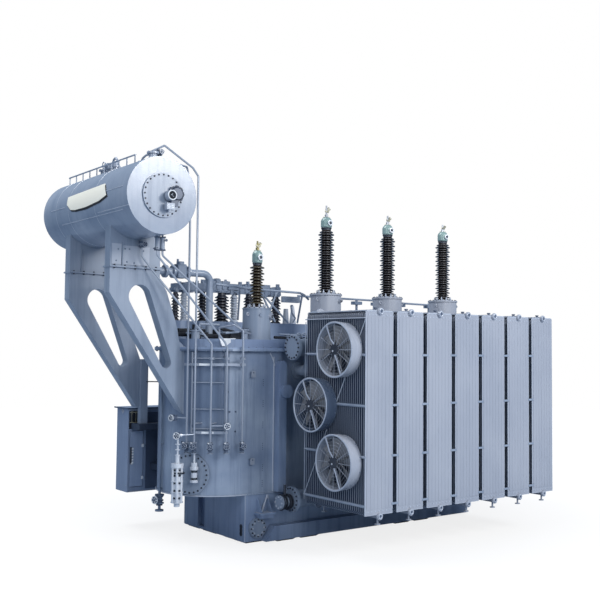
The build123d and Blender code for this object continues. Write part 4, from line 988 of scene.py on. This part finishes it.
def makeRadiatorDetails(s):
    loops, dots, rods, skin, dark = drafts(5)
    front, low, high, bead = s["front"], s["low"], s["high"], s["bead"]
    for n in range(s["count"]):
        left = s["left"] + n * s["pitch"]
        right = left + s["width"]
        middle = (left + right) / 2
        for z, loop, hole in ((high, 0.034, 0.022), (low - 0.02, 0.03, 0.018)):
            addRing(loops, (middle, front - 0.03, z), toFront, loop, 0.01, 24, 8)
            # A dark disc in each loop's eye: painted shadow
            addDrum(dark, (middle, front - 0.0275, z), toFront, hole, 0.001, 16)
        addDrum(dark, (middle + 0.02, front + 0.12, high), toTop, 0.02, 0.045, 12)
        addDrum(dark, (middle + 0.02, front + 0.12, high + 0.045), toTop, 0.028, 0.016, 8)
        for k in range(s["dots"]):
            x = middle + (k - 3) * s["dotPitch"]
            for z in (high - 0.055, low + 0.055):
                addDrum(dots, (x, front, z), toFront, 0.012, 0.004, 10)
        # Pale rods along the top and bottom edge of each front: painted highlights
        for z in (high - 0.004, low + 0.004):
            addRod(dots, (left, front, z), (right, front, z), 0.004, 6)
        # A plate over the top, its pale tone partly a painted highlight on the lit top face
        addBox(dots, (left + 0.01, front + 0.004, high), (right - 0.01, front + s["depth"], high + 0.014))
        for x in (left, right):
            addRod(dots, (x, front + bead, low), (x, front + bead, high), bead, 8)
        addBox(skin, (middle - 0.236, front - 0.005 + s["fluteDepth"], low + 0.091),
               (middle + 0.236, front, high - 0.091))
    edge = s["left"] - 0.008
    addRod(rods, (edge, -2.85, 3.415), (edge, -1.465, 0.78), 0.007, 8)
    addRod(rods, (edge, -1.465, 3.4), (edge, -1.465, 0.7), 0.006, 8)
    for z in s["rodHeights"]:
        addRod(rods, (edge - 0.005, -2.855, z + 0.002), (edge - 0.005, -1.46, z + 0.002), 0.008, 8)
    finishPiece(loops, "radiator_loops", "palePaint")
    finishPiece(dots, "radiator_welds_and_highlights", "palePaint")
    finishPiece(rods, "radiator_rods", "palePaint")
    finishPiece(skin, "radiator_skin", "radiatorPaint")
    finishPiece(dark, "radiator_vents_and_loop_shadows", "duskPaint")


makeRadiatorDetails(radiatorSettings)
print("stage: radiator details made")

# Rear pipework and struts seen between the bushings, clamps on the busbar cover and rims on the sheds
rearSettings = {
    "pipeRadius": 0.019, "strutRadius": 0.017,
    "run": ((-2.563, -0.1, 4.019), (-1.9, -0.1, 3.975), (-0.86, -0.1, 3.953), (-0.76, -0.1, 3.92),
            (-0.69, -0.14, 3.84)),
    "struts": (((-1.52, 0.15, 3.97), (-1.2, 0.15, 3.45)), ((-1.16, 0.15, 3.97), (-1.4, 0.15, 3.44)),
               ((-1.52, 0.15, 3.96), (-0.92, 0.15, 3.44)), ((-2.1, -0.1, 3.97), (-2.0, 0.1, 3.46)),
               ((-0.8, -0.1, 3.95), (-0.74, 0.12, 3.44))),
    "hoop": ((-0.86, 3.74), (-0.9, 3.74), (-0.88, 3.62), (-0.8, 3.52), (-0.86, 3.45)),
    "covers": ((-2.95, -2.62, 4.03), (-2.62, -2.3, 4.06), (-2.0, -1.7, 4.08), (-1.6, -1.1, 4.1)),
    "rings": (-2.95, -2.75, -2.5, -2.2, -2.05, -1.85, -1.55, -1.3, -1.0),
    "longPipes": ((-0.45, 1.7, 3.945, 3.935), (1.95, 3.05, 3.915, 3.905)),
    "posts": (0.3, 0.96, 1.46, 2.1, 2.9),
    "clamps": (-2.98, -2.84, -2.7, -2.52, -2.34, -2.2, -2.08, -1.92, -1.78, -1.62, -1.48, -1.36, -1.2,
               -1.08, -0.94),
    "shedLow": 3.48, "shedHigh": 3.88,
    # name, finish, slot, sheds on each, share of the pitch that a rim fills, place and reach of each
    "rims": (("rear_rims", "blackGlaze", "porcelain", 8, 0.36,
              ((-2.965, 0.068), (-2.45, 0.084), (-2.07, 0.128), (-1.52, 0.092), (-0.94, 0.095))),
             ("rear_pale_rims", "greyGlaze", "grey_porcelain", 9, 0.34, ((-2.805, 0.066), (-1.82, 0.072)))),
}


def makeRear(s):
    bm, dark = drafts(2)
    addRun(bm, s["run"], s["pipeRadius"], 12)
    for a, b in s["struts"]:
        addRod(bm, a, b, s["strutRadius"])
    addBox(bm, (-0.98, 0.2, 3.8), (-0.62, 0.28, 3.905))
    addRun(bm, [(x, 0.1, z) for x, z in s["hoop"]], 0.014)
    for x0, x1, z in s["covers"]:
        addBox(dark, (x0, 0.4, z - 0.1), (x1 - 0.03, 0.62, z))
        addDrum(dark, (x0 + 0.06, rearRow, z), toTop, 0.03, 0.045, 12)
    for x in s["rings"]:
        addRing(dark, (x, rearRow, 3.95), toTop, 0.09, 0.012, 20, 6)
    # Pipe run and boxes behind the high voltage turrets
    for x0, x1, z0, z1 in s["longPipes"]:
        addRod(bm, (x0, rearRow, z0), (x1, rearRow, z1), s["pipeRadius"], 12)
    for x in s["posts"]:
        addRod(dark, (x, rearRow, 3.12), (x, rearRow, 3.94), 0.024)
        addBox(dark, (x - 0.09, 0.44, 3.84), (x + 0.09, 0.56, 3.9))
    # Clamps and knobs along the busbar cover
    for i, x in enumerate(s["clamps"]):
        top = 4.0 + (0.1 if -2.35 < x < -1.95 else 0.06 if -1.75 < x < -1.2 else 0.02)
        addBox(dark, (x - 0.03, 0.412, top - 0.12), (x + 0.03, 0.588, top + 0.02 + 0.02 * (i % 3)))
        addDrum(dark, (x + 0.05, 0.45, top - 0.02), toTop, 0.022, 0.07, 10)
    finishPiece(bm, "rear_pipes", "midPaint")
    finishPiece(dark, "rear_covers", "bluePaint")
    for name, finish, slotName, count, fill, places in s["rims"]:
        rims = bmesh.new()
        pitch = (s["shedHigh"] - s["shedLow"]) / count
        for x, reach in places:
            for shed in range(count):
                r = (reach * 0.9 if shed % 2 else reach) - 0.0015
                addDrum(rims, (x, rearRow, s["shedLow"] + (shed + 0.08) * pitch), toTop, r, pitch * fill, 28)
        finishPiece(rims, name, finish)


makeRear(rearSettings)
print("stage: rear pipework made")

# Low flanges, boxes, straight rods and a pale funnel: what stands on the cover beside the pipes
coverSettings = {
    "flanges": ((-3.05, -0.3, 0.09, 0.12), (-2.85, -0.05, 0.07, 0.16), (-2.55, -0.35, 0.1, 0.1),
                (-2.35, -0.62, 0.08, 0.14), (-2.72, 0.35, 0.11, 0.13), (-1.45, -0.62, 0.1, 0.05)),
    "boxes": ((-2.95, -0.1), (-2.5, -0.55), (-2.2, 0.0)),
    "rings": ((-1.3, -0.66), (-1.22, -0.7), (-1.05, -0.66)),
    "darkRods": (((-3.2, 0.1, 3.2), (-2.75, -0.2, 3.2), 0.035),
                 ((-2.95, -0.45, 3.17), (-2.35, -0.6, 3.18), 0.034),
                 ((-3.05, 0.25, 3.26), (-2.3, 0.25, 3.25), 0.04),
                 ((-2.6, -0.3, 3.3), (-2.28, -0.35, 3.22), 0.028),
                 ((-1.75, -0.6, 3.17), (-1.0, -0.6, 3.16), 0.022),
                 ((-2.9, 0.0, 3.16), (-2.9, 0.0, 3.36), 0.03)),
    "lightRods": (((-2.98, -0.3, 3.36), (-2.62, -0.3, 3.355), 0.018),
                  ((-2.98, -0.3, 3.14), (-2.98, -0.3, 3.36), 0.014),
                  ((-3.1, -0.1, 3.22), (-2.95, -0.35, 3.2), 0.016),
                  ((-2.7, -0.62, 3.22), (-2.44, -0.6, 3.24), 0.016),
                  ((-1.7, -0.66, 3.22), (-1.1, -0.66, 3.21), 0.013)),
    "funnel": ((-2.9, 3.134), (-2.6, 3.14), (-2.78, 3.02), (-2.85, 3.016)),
    "funnelSides": (-0.768, -0.748),
}


def makeCoverDetails(s):
    bm, dark, funnel = drafts(3)
    for x, y, r, h in s["flanges"]:
        addDrum(bm, (x, y, coverTop), toTop, r * 0.7, h, 20)
        addDrum(bm, (x, y, coverTop + h), toTop, r, 0.022, 24)
        addBoltRing(dark, (x, y, coverTop + 0.022 + h), toTop, r * 0.8, 8, 0.009)
    for x, y in s["boxes"]:
        addBox(dark, (x - 0.09, y - 0.06, coverTop), (x + 0.09, y + 0.06, 3.24))
    for x, y in s["rings"]:
        addRing(bm, (x, y, 3.2), toBack, 0.045, 0.011, 20, 6)
    for a, b, r in s["darkRods"]:
        addRod(dark, a, b, r)
    for a, b, r in s["lightRods"]:
        addRod(bm, a, b, r, 8)
    near, far = ([funnel.verts.new((x, y, z)) for x, z in s["funnel"]] for y in s["funnelSides"])
    funnel.faces.new(near)
    funnel.faces.new(far[::-1])
    for i in range(4):
        k = (i + 1) % 4
        funnel.faces.new((near[i], far[i], far[k], near[k]))
    finishPiece(funnel, "cover_funnel", "whiteRing")
    finishPiece(bm, "cover_flanges", "midPaint")
    finishPiece(dark, "cover_boxes", "sootPaint")


makeCoverDetails(coverSettings)
print("stage: cover details made")

# Base: lifting slot in painted shade, weld beads, a painted highlight on the cover's rim, light rods of the
# jacking gussets and the lower header's valve
baseSettings = {
    "slot": ((-0.862, 0.122), (-0.778, 0.284)), "bead": 0.006, "pads": (-2.17, 2.17), "top": 0.742,
    "headerAxis": (-1.22, 0.638), "headerDiscs": (-2.045, -1.99, -1.93, -1.89),
}


def makeBase(s):
    dark, beads = drafts(2)
    (near, low), (far, high) = s["slot"]
    top, middle = s["top"], (near + far) / 2
    # Dark discs and a dark strip on the base's end: painted shade in the lifting slot
    for i in range(3):
        addDrum(dark, (-2.4945, middle, low + (high - low) * (i + 0.5) / 3), toLeft, 0.038, 0.002, 20)
    addBox(dark, (-2.4965, middle - 0.016, low), (-2.4945, middle + 0.016, high))
    for side in (-1, 1):
        addRod(beads, (-tankEnd, side * 0.909, top), (tankEnd, side * 0.909, top), s["bead"], 6)
        addRod(beads, (-2.484, side * 0.908, 0.04), (-2.484, side * 0.908, top), s["bead"], 6)
        inner, outer = sorted((side * 1.085, side * 0.912))
        for pad in s["pads"]:
            addRod(beads, (pad - 0.03, side * 0.95, 0.472), (pad + 0.087, side * 0.925, 0.721), 0.013, 8)
            addRod(beads, (pad + 0.098, side * 0.925, 0.472), (pad + 0.098, side * 0.925, 0.715), 0.01, 8)
            addBox(beads, (pad - 0.152, inner, 0.4705), (pad + 0.152, outer, 0.4725))
    addRod(beads, (-1.977, -0.911, top), (-1.977, -0.911, 2.86), 0.009, 8)
    # Pale strips round the cover's rim: a painted highlight
    addBox(beads, (-tankEnd, -0.9585, 2.952), (tankEnd, -0.9565, 2.988))
    addStrip(beads, 2.97, 90, 270, 0.9565, 0.036, 0.002, 40)
    addRun(beads, [beside(angle, 0.924, 0.752) for angle in range(90, 271, 6)], 0.01, 6)
    for z0, z1 in ((2.9, 2.72), (2.92, 2.8)):
        shift = 2.92 - z0
        addRod(beads, (-2.06 + shift, -0.912, z0), (-1.985 + shift, -0.925, z1), 0.008, 6)
    # Valve body and bolts between the disc and the flange of the lower header
    y, z = s["headerAxis"]
    for k, x in enumerate(s["headerDiscs"]):
        addDrum(dark, (x, y, z), toRight, 0.125 - 0.012 * (k % 2), 0.016, 28)
    addRod(dark, (-1.965, y, 0.75), (-1.965, y, 0.9), 0.02, 12)
    addBoltRing(beads, (-2.077, y, z), toLeft, 0.085, 8, 0.016)
    addBoltRing(beads, (-2.262, -0.949, 0.229), toFront, 0.105, 8, 0.016)
    # Thin straight rod between the bracket post and the tank
    addRod(dark, (-3.2, 1.0, 2.42), (-2.9, 0.8, 2.42), 0.009, 6)
    finishPiece(dark, "lifting_slot", "darkSteel")
    finishPiece(beads, "weld_beads_and_rim_highlight", "palePaint")


makeBase(baseSettings)
print("stage: base details made")

# Bolts round the fan shrouds
shroudSettings = {"bolts": 12, "size": 0.01, "front": -1.8, "reach": 0.397}


def makeShroudDetails(s, fans):
    bm = bmesh.new()
    for y, z in fans["places"]:
        for a in around(s["bolts"], math.pi / s["bolts"]):
            addBolt(bm, Vector((s["front"], y, z)) + faceWay(a) * s["reach"], faceWay(a), s["size"])
    finishPiece(bm, "shroud_bolts", "bluePaint")


makeShroudDetails(shroudSettings, fanSettings)
print("stage: shroud bolts made")
